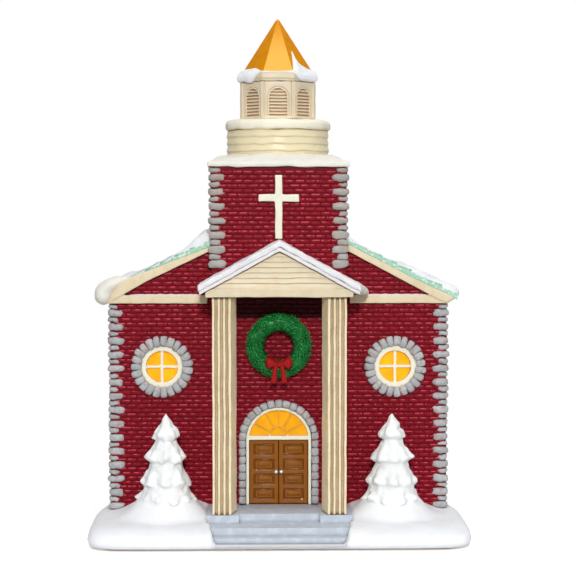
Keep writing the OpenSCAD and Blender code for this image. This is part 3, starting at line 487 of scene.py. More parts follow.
def tier_rings(foot, height, tier, draw):
    """Rings of one tier of boughs, each bough of its own length and droop."""
    top, neck_mm, tip, tip_mm, boughs = tier
    lengths = [draw.uniform(0.93, 1.06) for _ in range(boughs)]
    drops = [draw.uniform(-0.022, 0.022) for _ in range(boughs)]
    rings = []
    for part, share in TIER_PROFILE:
        ring = []
        for k in range(AROUND):
            angle = math.tau * k / AROUND
            turned = angle / math.tau * boughs
            near = round(turned) % boughs
            bough = 0.5 + 0.5 * math.cos(math.tau * turned)
            longest = tip_mm * (0.83 + 0.17 * bough) * (1.0 + (lengths[near] - 1.0) * bough)
            r = (neck_mm + (longest - neck_mm) * share) * MM
            down = top + (tip - top) * part + drops[near] * bough * share
            ring.append(foot + polar(r, angle, height * (1.0 - down)))
        rings.append(ring)
    return rings


for (side, word), foot, (low, high), seed in zip(SIDES, tree_spots, tree_boxes, (11, 29)):
    draw = random.Random(seed)
    height = high.z - low.z
    shape = bmesh.new()
    for tier in TIERS:
        lofted(shape, tier_rings(foot, height, tier, draw))
    lofted(shape, [[foot + polar(r * MM, math.tau * k / TRUNK_AROUND, height * (1.0 - down))
                    for k in range(TRUNK_AROUND)] for r, down in TRUNK])
    fir = melted("fir_" + word, shape, 0.4, 10, tree_snow)
    roughen(fir, 0.6, 2.4)
    dress(fir, "tree_" + word)

# Nave and tower walls: cast brickwork in satin maroon, one casting for the nave and one for the tower.
# The bricks are moulded bumps in running bond, with a pink painted highlight along their upper edges, partly
# dry-brushed wear, and dark joints between them.
BRICK_RED = (0.235, 0.005, 0.014, 1)
BRICK_DEEP = (0.165, 0.004, 0.012, 1)
BRICK_HIGHLIGHT_PINK = (0.60, 0.085, 0.12, 1)
JOINT_RED = (0.125, 0.003, 0.008, 1)
BRICK_PITCH = 4.05 * MM
COURSE = 1.79 * MM
BRICK_LENGTH = 3.75 * MM
BRICK_HEIGHT = 1.55 * MM
BRICK_PROUD = 0.55 * MM


def laying_tree():
    """Geometry nodes that set one shape on every spot, each a little different in size, turn and tone."""
    tree = bpy.data.node_groups.new("lay_pieces", "GeometryNodeTree")
    for label, kind in (("Spots", "Geometry"), ("Shape", "Object"), ("Size jitter", "Float"),
                        ("Turn jitter", "Float"), ("Seed", "Int"), ("Finish", "Material")):
        tree.interface.new_socket(label, in_out="INPUT", socket_type="NodeSocket" + kind)
    tree.interface.new_socket("Pieces", in_out="OUTPUT", socket_type="NodeSocketGeometry")
    given = node(tree, "NodeGroupInput").outputs

    def drawn(kind, low, high, seed_step):
        """Random value of one kind between two limits."""
        made = node(tree, "FunctionNodeRandomValue", data_type=kind)
        live = {s.name: s for s in made.inputs if s.enabled}
        step = node(tree, "ShaderNodeMath", {0: given["Seed"], 1: seed_step})
        for label, value in (("Min", low), ("Max", high), ("Seed", step.outputs[0])):
            feed(tree, live[label], value)
        return [s for s in made.outputs if s.enabled][0]

    def jitter(label, seed_step):
        """Random vector with each part up to the given jitter either way."""
        minus = node(tree, "ShaderNodeVectorMath", {0: given[label], "Scale": -1.0}, operation="SCALE")
        return drawn("FLOAT_VECTOR", minus.outputs[0], given[label], seed_step)

    def joined(operation, first, second):
        return node(tree, "ShaderNodeVectorMath", {0: first, 1: second}, operation=operation).outputs[0]

    def stored(label):
        made = node(tree, "GeometryNodeInputNamedAttribute", {"Name": label}, data_type="FLOAT_VECTOR")
        return made.outputs["Attribute"]

    turn = joined("ADD", stored("turn"), jitter("Turn jitter", 1))
    size = joined("MULTIPLY", stored("size"), joined("ADD", jitter("Size jitter", 2), (1, 1, 1)))
    shape = node(tree, "GeometryNodeObjectInfo", {"Object": given["Shape"]}).outputs["Geometry"]
    place = node(tree, "GeometryNodeInstanceOnPoints",
                 {"Points": given["Spots"], "Instance": shape, "Rotation": turn, "Scale": size})
    tone = node(tree, "GeometryNodeStoreNamedAttribute",
                {"Geometry": place.outputs["Instances"], "Name": "tone"},
                data_type="FLOAT", domain="INSTANCE")
    feed(tree, [s for s in tone.inputs if s.name == "Value" and s.enabled][0], drawn("FLOAT", 0.0, 1.0, 3))
    real = node(tree, "GeometryNodeRealizeInstances", {"Geometry": tone.outputs["Geometry"]})
    coat = node(tree, "GeometryNodeSetMaterial",
                {"Geometry": real.outputs["Geometry"], "Material": given["Finish"]})
    node(tree, "NodeGroupOutput", {"Pieces": coat.outputs["Geometry"]})
    return tree


LAYING = laying_tree()


def lay(name, shape, spots, material, seed, size_jitter=0.0, turn_jitter=0.0):
    """One mesh of a shape repeated at spots, each (place, turn, size)."""
    mesh = bpy.data.meshes.new(name + "_spots")
    mesh.from_pydata([tuple(s[0]) for s in spots], [], [])
    for label, column in (("turn", 1), ("size", 2)):
        layer = mesh.attributes.new(label, "FLOAT_VECTOR", "POINT")
        layer.data.foreach_set("vector", [c for s in spots for c in s[column]])
    holder = added(name, mesh)
    modifier = holder.modifiers.new("lay", "NODES")
    modifier.node_group = LAYING
    values = {"Shape": shape, "Size jitter": size_jitter, "Turn jitter": turn_jitter, "Seed": seed,
              "Finish": material}
    for socket in LAYING.interface.items_tree:
        if socket.name in values:
            modifier[socket.identifier] = values[socket.name]
    finish_modifiers(holder)
    holder.data.shade_smooth()
    return holder


def cushion_shape(name, rings):
    """A bump on a wall that faces -Y: rings of (half width, half height, how far out), the last its face."""
    verts = [(sx * half_w, -out, sz * half_h) for half_w, half_h, out in rings
             for sx, sz in ((-1, -1), (1, -1), (1, 1), (-1, 1))]
    faces = [(4 * r + k, 4 * r + (k + 1) % 4, 4 * r + 4 + (k + 1) % 4, 4 * r + 4 + k)
             for r in range(len(rings) - 1) for k in range(4)]
    last = 4 * (len(rings) - 1)
    faces.append((last, last + 1, last + 2, last + 3))
    piece = mesh_piece(name, verts, faces, None)
    # The worn number is 1 on the upper edges; the brick paint puts its pink painted highlight there.
    worn = piece.data.attributes.new("worn", "FLOAT", "POINT")
    for k in range(len(verts)):
        upper = 1.0 if k % 4 > 1 else 0.12
        worn.data[k].value = max(0.0, rings[k // 4][2]) * upper
    return piece


# Painted shadow: the wall under the porch beam is painted nearly black, down to PORCH_SHADE below the beam,
# where the beam's shadow falls.
PORCH_SHADOW_BLACK = (0.022, 0.0004, 0.0008, 1)
PORCH_SHADE = 9.9 * MM     # how far the black reaches down from the beam
PORCH_HALF = 22 * MM
beam_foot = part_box("portico_pediment")[0].z


def axes(tree, place):
    """X, Y and Z of a place, by name."""
    return node(tree, "ShaderNodeSeparateXYZ", {0: place}).outputs


def kept(tree, name):
    """A number that is stored on the mesh."""
    return node(tree, "ShaderNodeAttribute", attribute_name=name).outputs["Fac"]


def painted_porch_shadow(tree, place, colour):
    """Painted shadow: the wall right under the porch beam is painted nearly black, where the beam's shadow
    falls.
    """
    split = axes(tree, place)
    across = node(tree, "ShaderNodeMath", {0: split["X"]}, operation="ABSOLUTE").outputs[0]
    edge = beam_foot - PORCH_SHADE
    share = times(tree, ramp(tree, split["Z"], edge - 0.4 * MM, edge + 0.4 * MM), 0.9)
    for value, low, high in ((split["Z"], beam_foot + 4 * MM, beam_foot + 3 * MM),
                             (across, PORCH_HALF + MM, PORCH_HALF), (split["Y"], -22 * MM, -24 * MM)):
        share = times(tree, ramp(tree, value, low, high), share)
    return blend_colour(tree, share, colour, PORCH_SHADOW_BLACK)


def brick_paint(name):
    """Maroon satin paint, uneven from brick to brick, with a pink painted highlight along the upper edges,
    partly dry-brushed wear.
    """
    material, tree, shader, place = start_paint(name, 0.42, specular=0.09)
    fired = blend_colour(tree, times(tree, kept(tree, "tone"), 0.6), BRICK_RED, BRICK_DEEP)
    blotches = times(tree, ramp(tree, cloud(tree, place, 9.0), 0.45, 0.75), 0.35)
    patches = blend_colour(tree, blotches, fired, BRICK_DEEP)
    # Painted highlight: pink on the upper edge of each brick, where the lamps catch its rounded top, broken
    # up by noise.
    highlight_edges = ramp(tree, kept(tree, "worn"), 0.74, 0.98)
    worn = times(tree, highlight_edges, ramp(tree, cloud(tree, place, 2.0), 0.47, 0.58))
    highlighted = blend_colour(tree, worn, patches, BRICK_HIGHLIGHT_PINK)
    # the painted shadow under the porch beam goes over the bricks' colour
    feed(tree, shader.inputs["Base Color"], painted_porch_shadow(tree, place, highlighted))
    raise_grain(tree, shader, cloud(tree, place, 0.45, 4.0), 0.12, 0.6)
    return material


joint_paint, joint_tree, joint_shader, joint_place = start_paint("joint_paint", 0.6)
joint_colour = blend_colour(joint_tree, cloud(joint_tree, joint_place, 1.2), JOINT_RED, BRICK_DEEP)
# the painted shadow under the porch beam goes over the joints' colour too
feed(joint_tree, joint_shader.inputs["Base Color"], painted_porch_shadow(joint_tree, joint_place, joint_colour))
raise_grain(joint_tree, joint_shader, cloud(joint_tree, joint_place, 0.4), 0.1)
put_on(["nave_walls", "tower_walls"], joint_paint)
brick_red = brick_paint("brick_paint")
brick_shape = cushion_shape("brick_shape", [(0.5, 0.5, -0.1), (0.49, 0.47, 0.5), (0.455, 0.38, 0.88),
                                            (0.40, 0.27, 1.0)])

EAVE_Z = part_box("gable_trim_front")[0].z
tower_low, tower_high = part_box("tower_walls")
door_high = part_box("door_frame")[1]
door_half = door_high.x
door_spring = door_high.z - door_half
window_boxes = [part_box("window_frame_" + word) for side, word in SIDES]
window_spots = [(low + high) / 2 for low, high in window_boxes]
window_r = (window_boxes[1][1].x - window_boxes[1][0].x) / 2
roof_low, roof_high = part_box("roof_right")
ROOF_SLOPE = 0.485
BAND = 3.4 * MM


def roof_under(x):
    """Underside of the main roof at a distance from the ridge."""
    return EAVE_Z + BAND + ROOF_SLOPE * (wall_high.x - abs(x))


def in_door(x, z, grow):
    if z < door_spring:
        return abs(x) < door_half + grow
    return math.hypot(x, z - door_spring) < door_half + grow


def on_front(x, z):
    """Whether a brick of the nave's front shows."""
    if abs(x) < tower_high.x + 0.5 * MM and z > tower_low.z - 0.6 * MM:
        return False
    if z > roof_under(x) - 2.0 * MM or in_door(x, z, 1.2 * MM):
        return False
    return all(math.hypot(x - w.x, z - w.z) > window_r + 1.3 * MM for w in window_spots)


BRICK = (BRICK_LENGTH, BRICK_PROUD, BRICK_HEIGHT)


def everywhere(along, z):
    return True


def brickwork(name, walls, seed):
    """Bricks in running bond on walls, each (place of a brick, turn, half length, foot, top, what shows)."""
    spots = []
    for place_of, turn_z, half_length, foot, top, shows in walls:
        for row in range(int((top - foot) / COURSE)):
            z = foot + (row + 0.5) * COURSE
            shift = 0.5 * BRICK_PITCH if row % 2 else 0.0
            for k in range(int(2 * half_length / BRICK_PITCH) + 2):
                along = -half_length + shift + (k - 0.5) * BRICK_PITCH
                if abs(along) <= half_length - 0.4 * BRICK_LENGTH and shows(along, z):
                    spots.append((place_of(along, z), (0, 0, turn_z), BRICK))
    dress(lay(name, brick_shape, spots, brick_red, seed, 0.05, 0.02))


nave_mid = (wall_low.y + wall_high.y) / 2
nave_half = (wall_high.y - wall_low.y) / 2
wall_foot = base_top - 0.6 * MM
gable = (wall_high.x, wall_foot, wall_high.z)
flank = (nave_half, wall_foot, EAVE_Z + BAND - 1.5 * MM, everywhere)
brickwork("nave_bricks", (
    (lambda s, z: (s, wall_low.y, z), 0.0, *gable, on_front),
    (lambda s, z: (-s, wall_high.y, z), math.pi, *gable, lambda s, z: z < roof_under(s) - 2.0 * MM),
    (lambda s, z: (wall_high.x, nave_mid + s, z), math.pi / 2, *flank),
    (lambda s, z: (-wall_high.x, nave_mid - s, z), -math.pi / 2, *flank)), 5)
tall = (tower_low.z, tower_high.z)
over_roof = roof_under(tower_high.x) + 1.5 * MM
brickwork("tower_bricks", (
    (lambda s, z: (s, tower_low.y, z), 0.0, tower_high.x, *tall, everywhere),
    (lambda s, z: (-s, tower_high.y, z), math.pi, tower_high.x, *tall,
     lambda s, z: z > roof_under(s) + 1.5 * MM),
    (lambda s, z: (tower_high.x, s, z), math.pi / 2, tower_high.y, *tall, lambda s, z: z > over_roof),
    (lambda s, z: (-tower_high.x, -s, z), -math.pi / 2, tower_high.y, *tall, lambda s, z: z > over_roof)), 6)
bpy.data.objects.remove(brick_shape)

# Corner stones: grey castings stacked up each corner of the nave and tower, long and short in turn.
# Each is a rounded pillow that stands out from the brick, grey paint with brown rubbed over it.
STONE_GREY = (0.47, 0.47, 0.48, 1)
STONE_WARM = (0.40, 0.36, 0.32, 1)
STONE_DARK = (0.30, 0.31, 0.33, 1)
STONE_BROWN = (0.36, 0.26, 0.17, 1)
STONE_GAP = (0.07, 0.045, 0.035, 1)
NAVE_STONES = 5.5 * MM      # one long and one short stone together
TOWER_STONES = 6.0 * MM
STONE_LONG = 5.4 * MM
STONE_SHORT = 3.5 * MM
STONE_PROUD = 1.2 * MM
STONE_JOINT = 0.15 * MM


def pebble_shape(name, power, cuts=3):
    """A cube of one unit with its edges and corners rounded away."""
    shape = bmesh.new()
    bmesh.ops.create_cube(shape, size=2.0)
    bmesh.ops.subdivide_edges(shape, edges=shape.edges, cuts=cuts, use_grid_fill=True)
    for vertex in shape.verts:
        reach = sum(abs(c) ** power for c in vertex.co) ** (1.0 / power)
        vertex.co *= 0.5 / reach
    return shape_piece(name, shape)


def stone_paint(name, grey):
    """Grey paint, lighter or darker from stone to stone, with brown rubbed on the faces and dark gaps."""
    material, tree, shader, place = start_paint(name, 0.5, coat=0.1)
    body = blend_colour(tree, times(tree, kept(tree, "tone"), 0.55), grey, STONE_DARK)
    blotches = times(tree, ramp(tree, cloud(tree, place, 1.3), 0.46, 0.68), 0.7)
    mottled = blend_colour(tree, blotches, body, STONE_DARK)
    rubbed = times(tree, ramp(tree, cloud(tree, place, 2.6), 0.50, 0.72), 0.6)
    smudged = blend_colour(tree, rubbed, mottled, STONE_BROWN)
    gaps = times(tree, crevice(tree, 1.1, 0.25, 0.8), 0.9)
    feed(tree, shader.inputs["Base Color"], blend_colour(tree, gaps, smudged, STONE_GAP))
    raise_grain(tree, shader, cloud(tree, place, 0.5, 4.0), 0.12, 0.6)
    return material


def corner_stack(corner, outward, z0, z1, pitch, flat_below=0.0):
    """Spots of the stones up one corner; those below flat_below lie on the front face alone."""
    spots = []
    pairs = round((z1 - z0) / pitch)
    step = (z1 - z0) / pairs
    for i in range(pairs):
        low = z0 + i * step
        middle = low + 0.58 * step
        high = low + step
        for bottom, top, on_x, on_y, proud in ((low, middle, STONE_LONG, STONE_SHORT, STONE_PROUD),
                                               (middle, high, STONE_SHORT, STONE_LONG, 0.85 * STONE_PROUD)):
            deep = 0.5 * MM if bottom < flat_below else on_y
            centre = (corner[0] + outward[0] * (proud - on_x) / 2,
                      corner[1] + outward[1] * (proud - deep) / 2, (bottom + top) / 2)
            spots.append((centre, (0, 0, 0), (on_x + proud, deep + proud, top - bottom - STONE_JOINT)))
    return spots


stone_grey = stone_paint("stone_paint", STONE_GREY)
stone_warm = stone_paint("tower_stone_paint", STONE_WARM)
stone_shape = pebble_shape("stone_shape", 3.6)
roof_at_tower = roof_under(tower_high.x) + 2.9 * MM
stone_stacks = []
for side, word in SIDES:
    for ends, y, out_y in (("front", wall_low.y, -1), ("rear", wall_high.y, 1)):
        stack = corner_stack((side * wall_high.x, y), (side, out_y), wall_low.z, EAVE_Z, NAVE_STONES)
        stone_stacks.append(("quoins_" + ends + "_" + word, stack, stone_grey))
    for ends, y, out_y in (("front", tower_low.y, -1), ("rear", tower_high.y, 1)):
        cad_name = "tower_quoins_" + ends + "_" + word
        stack = corner_stack((side * tower_high.x, y), (side, out_y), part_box(cad_name)[0].z, tower_high.z,
                             TOWER_STONES, roof_at_tower * (out_y < 0))
        stone_stacks.append((cad_name, stack, stone_warm))
for number, (cad_name, spots, finish) in enumerate(stone_stacks):
    stack = lay(cad_name.replace("quoins", "stones"), stone_shape, spots, finish, 40 + number, 0.08, 0.05)
    roughen(stack, 0.5, 2.0)
    dress(stack, cad_name)

# Gable trim: a cream band at the eaves and two sloping boards under the roof, at both ends of the nave.
# One casting at each gable, soft from the mould, with tan wash in the corners; the front one is askew.
CREAM = (0.73, 0.63, 0.44, 1)
CREAM_SHADE = (0.66, 0.48, 0.27, 1)
CREAM_WASH = (0.33, 0.19, 0.075, 1)
MOST_FACES = 90000         # triangles of one casting
BOARD_BACK = -25.02        # mm; the boards lie on the front wall
BAND_FRONT = -26.7
RAKE_FRONT = -27.15        # the sloping boards lap over the ends of the band
# Corners across and up in mm; the left board lies higher and flatter than the right one.
FRONT_BOARDS = ((BAND_FRONT, ((-67.0, 90.0), (-28.0, 90.0), (-28.0, 93.3), (-61.0, 93.3))),
                (BAND_FRONT, ((28.0, 90.0), (66.8, 90.0), (69.0, 91.5), (67.2, 93.2), (28.0, 93.3))),
                (RAKE_FRONT, ((-67.6, 90.0), (-59.1, 94.5), (-52.3, 98.4), (-27.0, 110.5), (-27.0, 112.1),
                              (-66.8, 96.9), (-69.2, 93.5))),
                (RAKE_FRONT, ((27.0, 110.6), (33.8, 107.0), (57.5, 94.4), (62.5, 91.7), (66.0, 90.4),
                              (68.9, 92.0), (66.3, 93.6), (57.5, 97.6), (27.0, 113.2))))


def thinned(piece):
    """Merges faces that a fine voxel skin leaves over, mostly where the casting is nearly flat."""
    count = sum(len(polygon.vertices) - 2 for polygon in piece.data.polygons)
    if count > MOST_FACES:
        piece.modifiers.new("fewer", "DECIMATE").ratio = MOST_FACES / count
        finish_modifiers(piece)


def cast_copy(name, cad_name, material, voxel_mm, rounds=2, wobble_mm=0.12, cell_mm=6.0, grow_mm=0.0):
    """A copy of a CAD node with the soft edges and slight waves of a small casting."""
    piece = melted(name, cad_shape(cad_name), voxel_mm, rounds, material)
    if grow_mm:
        fuller = [v.co + v.normal * grow_mm * MM for v in piece.data.vertices]
        for vertex, place in zip(piece.data.vertices, fuller):
            vertex.co = place
    roughen(piece, wobble_mm, cell_mm)
    thinned(piece)
    dress(piece, cad_name)


cream = washed_paint("cream_paint", CREAM, CREAM_WASH, 1.3, 0.42, 0.5, CREAM_SHADE, 0.5, 0.85)
cast_copy("gable_boards_rear", "gable_trim_rear", cream, 0.4)
front_shape = bmesh.new()
for front, corners in FRONT_BOARDS:
    lofted(front_shape, [[Vector((x, y, z)) * MM for x, z in corners] for y in (front, BOARD_BACK)])
front_boards = melted("gable_boards_front", front_shape, 0.25, 2, cream)
roughen(front_boards, 0.15, 6.0)
dress(front_boards, "gable_trim_front")

# Roof: two slopes of cast shingles in mint green, glued to the tops of the walls and round the tower.
# Each course laps the one below, and the paint is sponged on in paler dabs.
MINT = (0.36, 0.62, 0.48, 1)
MINT_DEEP = (0.16, 0.37, 0.28, 1)
MINT_PALE = (0.74, 0.83, 0.79, 1)
SHINGLE_ROWS = 12
SHINGLE_W = 4.2 * MM
ROOF_T = 2.6 * MM
COURSE_LAP = 0.7 * MM
roof_run = roof_high.x / SHINGLE_ROWS
course_tilt = math.atan(ROOF_SLOPE - COURSE_LAP / roof_run)


def roof_top(x):
    return roof_under(x) + ROOF_T


def by_tower(x, y, grow):
    return abs(x) < tower_high.x + grow and abs(y) < tower_high.y + grow


mint, mint_tree, mint_shader, mint_place = start_paint("mint_paint", 0.5)
mint_body = blend_colour(mint_tree, times(mint_tree, kept(mint_tree, "tone"), 0.5), MINT, MINT_DEEP)
mint_sponge = ramp(mint_tree, cloud(mint_tree, mint_place, 1.3, 5.0), 0.48, 0.66)
mint_dabbed = blend_colour(mint_tree, times(mint_tree, mint_sponge, 0.8), mint_body, MINT_PALE)
mint_gaps = times(mint_tree, crevice(mint_tree, 0.9), 0.8)
feed(mint_tree, mint_shader.inputs["Base Color"], blend_colour(mint_tree, mint_gaps, mint_dabbed, MINT_DEEP))
raise_grain(mint_tree, mint_shader, cloud(mint_tree, mint_place, 0.5, 4.0), 0.15, 0.7)
put_on(["roof_left", "roof_right"], mint)
shingle_shape = cushion_shape("shingle_shape", [(0.5, 0.5, -0.4), (0.5, 0.485, 0.6), (0.47, 0.45, 1.0)])
for side, word in SIDES:
    spots = []
    for row in range(SHINGLE_ROWS):
        x = (row + 0.5) * roof_run
        z = (roof_top(row * roof_run) - COURSE_LAP + roof_top((row + 1) * roof_run)) / 2
        shift = 0.5 * SHINGLE_W if row % 2 else 0.0
        for k in range(int((roof_high.y - roof_low.y) / SHINGLE_W)):
            y = roof_low.y + (k + 0.5) * SHINGLE_W + shift
            if y < roof_high.y - 0.5 * SHINGLE_W and not by_tower(x - 0.5 * roof_run, y, 0.4 * SHINGLE_W):
                spots.append(((side * x, y, z), (-math.pi / 2, side * course_tilt, 0),
                              (0.98 * roof_run, 0.55 * MM, 0.95 * SHINGLE_W)))
    dress(lay("shingles_" + word, shingle_shape, spots, mint, 61 + side, 0.04, 0.03))
bpy.data.objects.remove(shingle_shape)

# Roof snow: cast drifts that lie on the shingles and roll over the eaves, white glaze with glitter.
# Bare mint is left along the front gable and in patches farther back.
ROLL_R = 1.7 * MM
SNOW_DEEP = 1.7 * MM
DOWN_STEPS = 84
ALONG_STEPS = 82
slope_angle = math.atan(ROOF_SLOPE)
slope_length = roof_high.x / math.cos(slope_angle)
roll_start = slope_length - 1.3 * MM
TOWER_DRIFT = {-1: 2.2 * MM, 1: 0.9 * MM}   # extra depth against the tower
THIN_SNOW = {-1: (41 * MM, 60 * MM), 1: (33 * MM, 50 * MM)}   # from the middle; the snow is worn thin here
ROLL_ARC = 2.6             # radians that the snow turns round the eave
snow_reach = roll_start + ROLL_ARC * ROLL_R


def snow_cover(down, y):
    """How much snow lies on the roof, from 0 for bare shingles to 1."""
    eave = smoothstep(slope_length - 13 * MM, slope_length - 8 * MM, down + 3 * MM * ripple(y, 0, 9 * MM, 5))
    behind = smoothstep(0.5 * MM, 5 * MM, y - roof_low.y + 2.5 * MM * ripple(down, y, 7 * MM, 6))
    patches = noise.noise(Vector((down, 1.3 * y, 0.4 * y)) / (13 * MM))
    holes = smoothstep(0.16, 0.34, patches) * (1.0 - smoothstep(0.0, 0.3, eave))
    return max(eave * smoothstep(0.0, 2 * MM, y - roof_low.y), behind * (1.0 - holes * (y > 0)))


def snow_point(side, down, y, lift):
    """A point at a depth over the shingles, on the slope or round the eave."""
    normal = Vector((math.sin(slope_angle), 0, math.cos(slope_angle)))
    fall = Vector((math.cos(slope_angle), 0, -math.sin(slope_angle)))
    origin = Vector((0, y, roof_top(0)))
    if down <= roll_start:
        place = origin + fall * down + normal * lift
    else:
        turn = (down - roll_start) / ROLL_R
        outward = normal * math.cos(turn) + fall * math.sin(turn)
        place = origin + fall * roll_start - normal * ROLL_R + outward * (ROLL_R + lift)
    return Vector((side * place.x, place.y, place.z))


def outward_faces(piece):
    """Turns every face of a closed shell outwards."""
    shape = bmesh.new()
    shape.from_mesh(piece.data)
    bmesh.ops.recalc_face_normals(shape, faces=shape.faces)
    shape.to_mesh(piece.data)
    shape.free()


def roof_snow(side, word):
    """One slope's snow: a sheet of its top over a sheet of its underside, closed round the edge."""
    def along(j):
        return roof_low.y + 0.2 * MM + (roof_high.y - roof_low.y - 0.4 * MM) * j / ALONG_STEPS

    def snow_deep(i, j):
        """Depth over the shingles at one point of the sheet; below 0 it is hidden under them."""
        down = snow_reach * i / DOWN_STEPS
        y = along(j)
        cover = snow_cover(down, y + side * 31 * MM * (y > 0))
        x = down * math.cos(slope_angle)
        if by_tower(x, y, 0.2 * MM):
            return -1.5 * MM
        inner, outer = THIN_SNOW[side]
        worn = smoothstep(inner - 15 * MM, inner + 3 * MM, x)
        worn -= smoothstep(outer - 2 * MM, outer + 4 * MM, x)
        full = SNOW_DEEP * (1.0 - 0.8 * worn) + 1.0 * MM
        deep = -1.0 * MM + full * cover * (1.0 + 0.25 * (1.0 - worn) * ripple(down, y, 6 * MM, 9 + side))
        ends = min(j, ALONG_STEPS - j) / 3.0
        tail = min(1.0, (DOWN_STEPS - i) / 4.0)
        deep = -0.8 * MM + (deep + 0.8 * MM) * min(1.0, 0.35 + 0.65 * ends) * (0.2 + 0.8 * tail)
        by_side = 1.0 - smoothstep(tower_high.x, tower_high.x + 22 * MM, x)
        return deep + TOWER_DRIFT[side] * by_side * cover * (1.0 - worn)

    points = [(i, j, snow_deep(i, j)) for i in range(DOWN_STEPS + 1) for j in range(ALONG_STEPS + 1)]
    verts = [snow_point(side, snow_reach * i / DOWN_STEPS, along(j), deep) for i, j, deep in points]
    verts += [snow_point(side, snow_reach * i / DOWN_STEPS, along(j), min(deep, -0.6 * MM) - 0.3 * MM)
              for i, j, deep in points]
    sheet = len(points)
    faces = sheet_faces(DOWN_STEPS, ALONG_STEPS)
    faces += [face[::-1] for face in sheet_faces(DOWN_STEPS, ALONG_STEPS, sheet)]
    rim = sheet_rim(DOWN_STEPS, ALONG_STEPS)
    faces += [(a, b, sheet + b, sheet + a) for a, b in zip(rim, rim[1:] + rim[:1])]
    piece = mesh_piece("roof_drift_" + word, verts, faces, snow)
    outward_faces(piece)
    dress(piece, "roof_snow_" + word)


for side, word in SIDES:
    roof_snow(side, word)


def add_lump(shape, place_mm, size_mm):
    """One rounded lump."""
    for vert in bmesh.ops.create_icosphere(shape, subdivisions=3, radius=1.0)["verts"]:
        vert.co = MM * Vector([at + out * way for at, out, way in zip(place_mm, size_mm, vert.co)])


# Middles and half sizes in mm of lumps that run together, at the left eave and at the porch's right foot
EAVE_LUMPS = (((-69.0, -24.8, 92.7), (3.4, 4.6, 3.4)), ((-68.7, -24.8, 94.2), (3.5, 4.6, 3.3)),
              ((-67.8, -24.7, 95.6), (3.5, 4.5, 3.1)), ((-66.5, -24.6, 96.7), (3.4, 4.3, 2.9)),
              ((-65.0, -24.4, 97.6), (3.3, 4.1, 2.6)), ((-63.4, -24.2, 98.4), (3.2, 3.9, 2.3)),
              ((-61.8, -24.0, 99.0), (3.0, 3.6, 1.9)), ((-60.2, -23.8, 99.5), (2.6, 3.2, 1.4)))
PORCH_LUMPS = (((29.0, -41.0, 97.2), (2.6, 5.0, 2.4)), ((30.4, -38.0, 96.4), (2.6, 5.0, 2.3)),
               ((31.8, -34.0, 95.6), (2.4, 5.0, 2.1)), ((33.0, -30.5, 95.0), (2.2, 4.0, 1.8)))
BAND_LUMPS = 17            # small ones on each side of the band, a thin line of dusty snow
warm_snow = snow_paint("warm_snow", (0.77, 0.755, 0.685, 1), (0.69, 0.655, 0.58, 1))
for name, spots in (("eave_lump", EAVE_LUMPS), ("porch_lump", PORCH_LUMPS)):
    heap_shape = bmesh.new()
    for place, size in spots:
        add_lump(heap_shape, place, size)
    heap = melted(name, heap_shape, 0.4, 16, warm_snow)
    roughen(heap, 0.35, 4.0)
    dress(heap)
dust_shape = bmesh.new()
for side, word in SIDES:
    for k in range(BAND_LUMPS):
        place = (side * (33.0 + 1.5 * k), -26.0, 93.2 + 0.12 * math.sin(2.3 * k))
        add_lump(dust_shape, place, (2.0, 0.7, 0.5))
dust_snow = snow_paint("dust_snow", (0.72, 0.62, 0.64, 1), (0.60, 0.48, 0.52, 1))
dress(melted("band_dust", dust_shape, 0.2, 8, dust_snow))

# Tower snow: one soft drift that covers the top of the tower up to the drum, white glaze with glitter.
# It hangs a little over the corner stones.
cast_copy("tower_drift", "tower_snow", warm_snow, 0.5, 5, 0.55, 5.0)

# Cross: a plain raised cross cast with the tower front, painted ivory.
# Its arms taper a little and its edges are round.
IVORY = (0.80, 0.80, 0.66, 1)
IVORY_WASH = (0.50, 0.36, 0.20, 1)
ivory = washed_paint("ivory_paint", IVORY, IVORY_WASH, 0.9, 0.4, 0.25, (0.72, 0.66, 0.48, 1), 0.5, 0.6)
cast_copy("ivory_cross", "cross", ivory, 0.25, 3, 0.2, 6.0)

# Drum and rim: the round base of the belfry, four cast clapboards high, cream with tan in the laps.
# A thick uneven rim of snow lies on it and carries the belfry.
PALE_CREAM = (0.75, 0.67, 0.45, 1)
drum_paint = washed_paint("drum_paint", PALE_CREAM, (0.50, 0.30, 0.13, 1), 1.1, 0.42, 0.35,
                          (0.80, 0.66, 0.42, 1), 0.5, 0.75)
cast_copy("clapboard_drum", "belfry_drum", drum_paint, 0.3, 2, 0.35, 5.0)
rim_snow = snow_paint("rim_snow", (0.87, 0.84, 0.69, 1), (0.74, 0.68, 0.54, 1))
cast_copy("rim_drift", "drum_snow_rim", rim_snow, 0.4, 6, 0.4, 6.0)

# Belfry: an eight-sided lantern with a louvred arch in each face, cast hollow and painted cream.
# Brown wash lies in the louvres; a moulded cornice is glued on top.
belfry_paint = washed_paint("belfry_paint", (0.68, 0.60, 0.44, 1), (0.46, 0.22, 0.09, 1), 0.7, 0.42, 0.35,
                            (0.72, 0.56, 0.36, 1), 0.5, 0.85, 0.98)
cast_copy("louvred_belfry", "belfry", belfry_paint, 0.16, 1, 0.08, 4.0)
cast_copy("moulded_cornice", "belfry_cornice", belfry_paint, 0.28, 2, 0.2, 5.0)

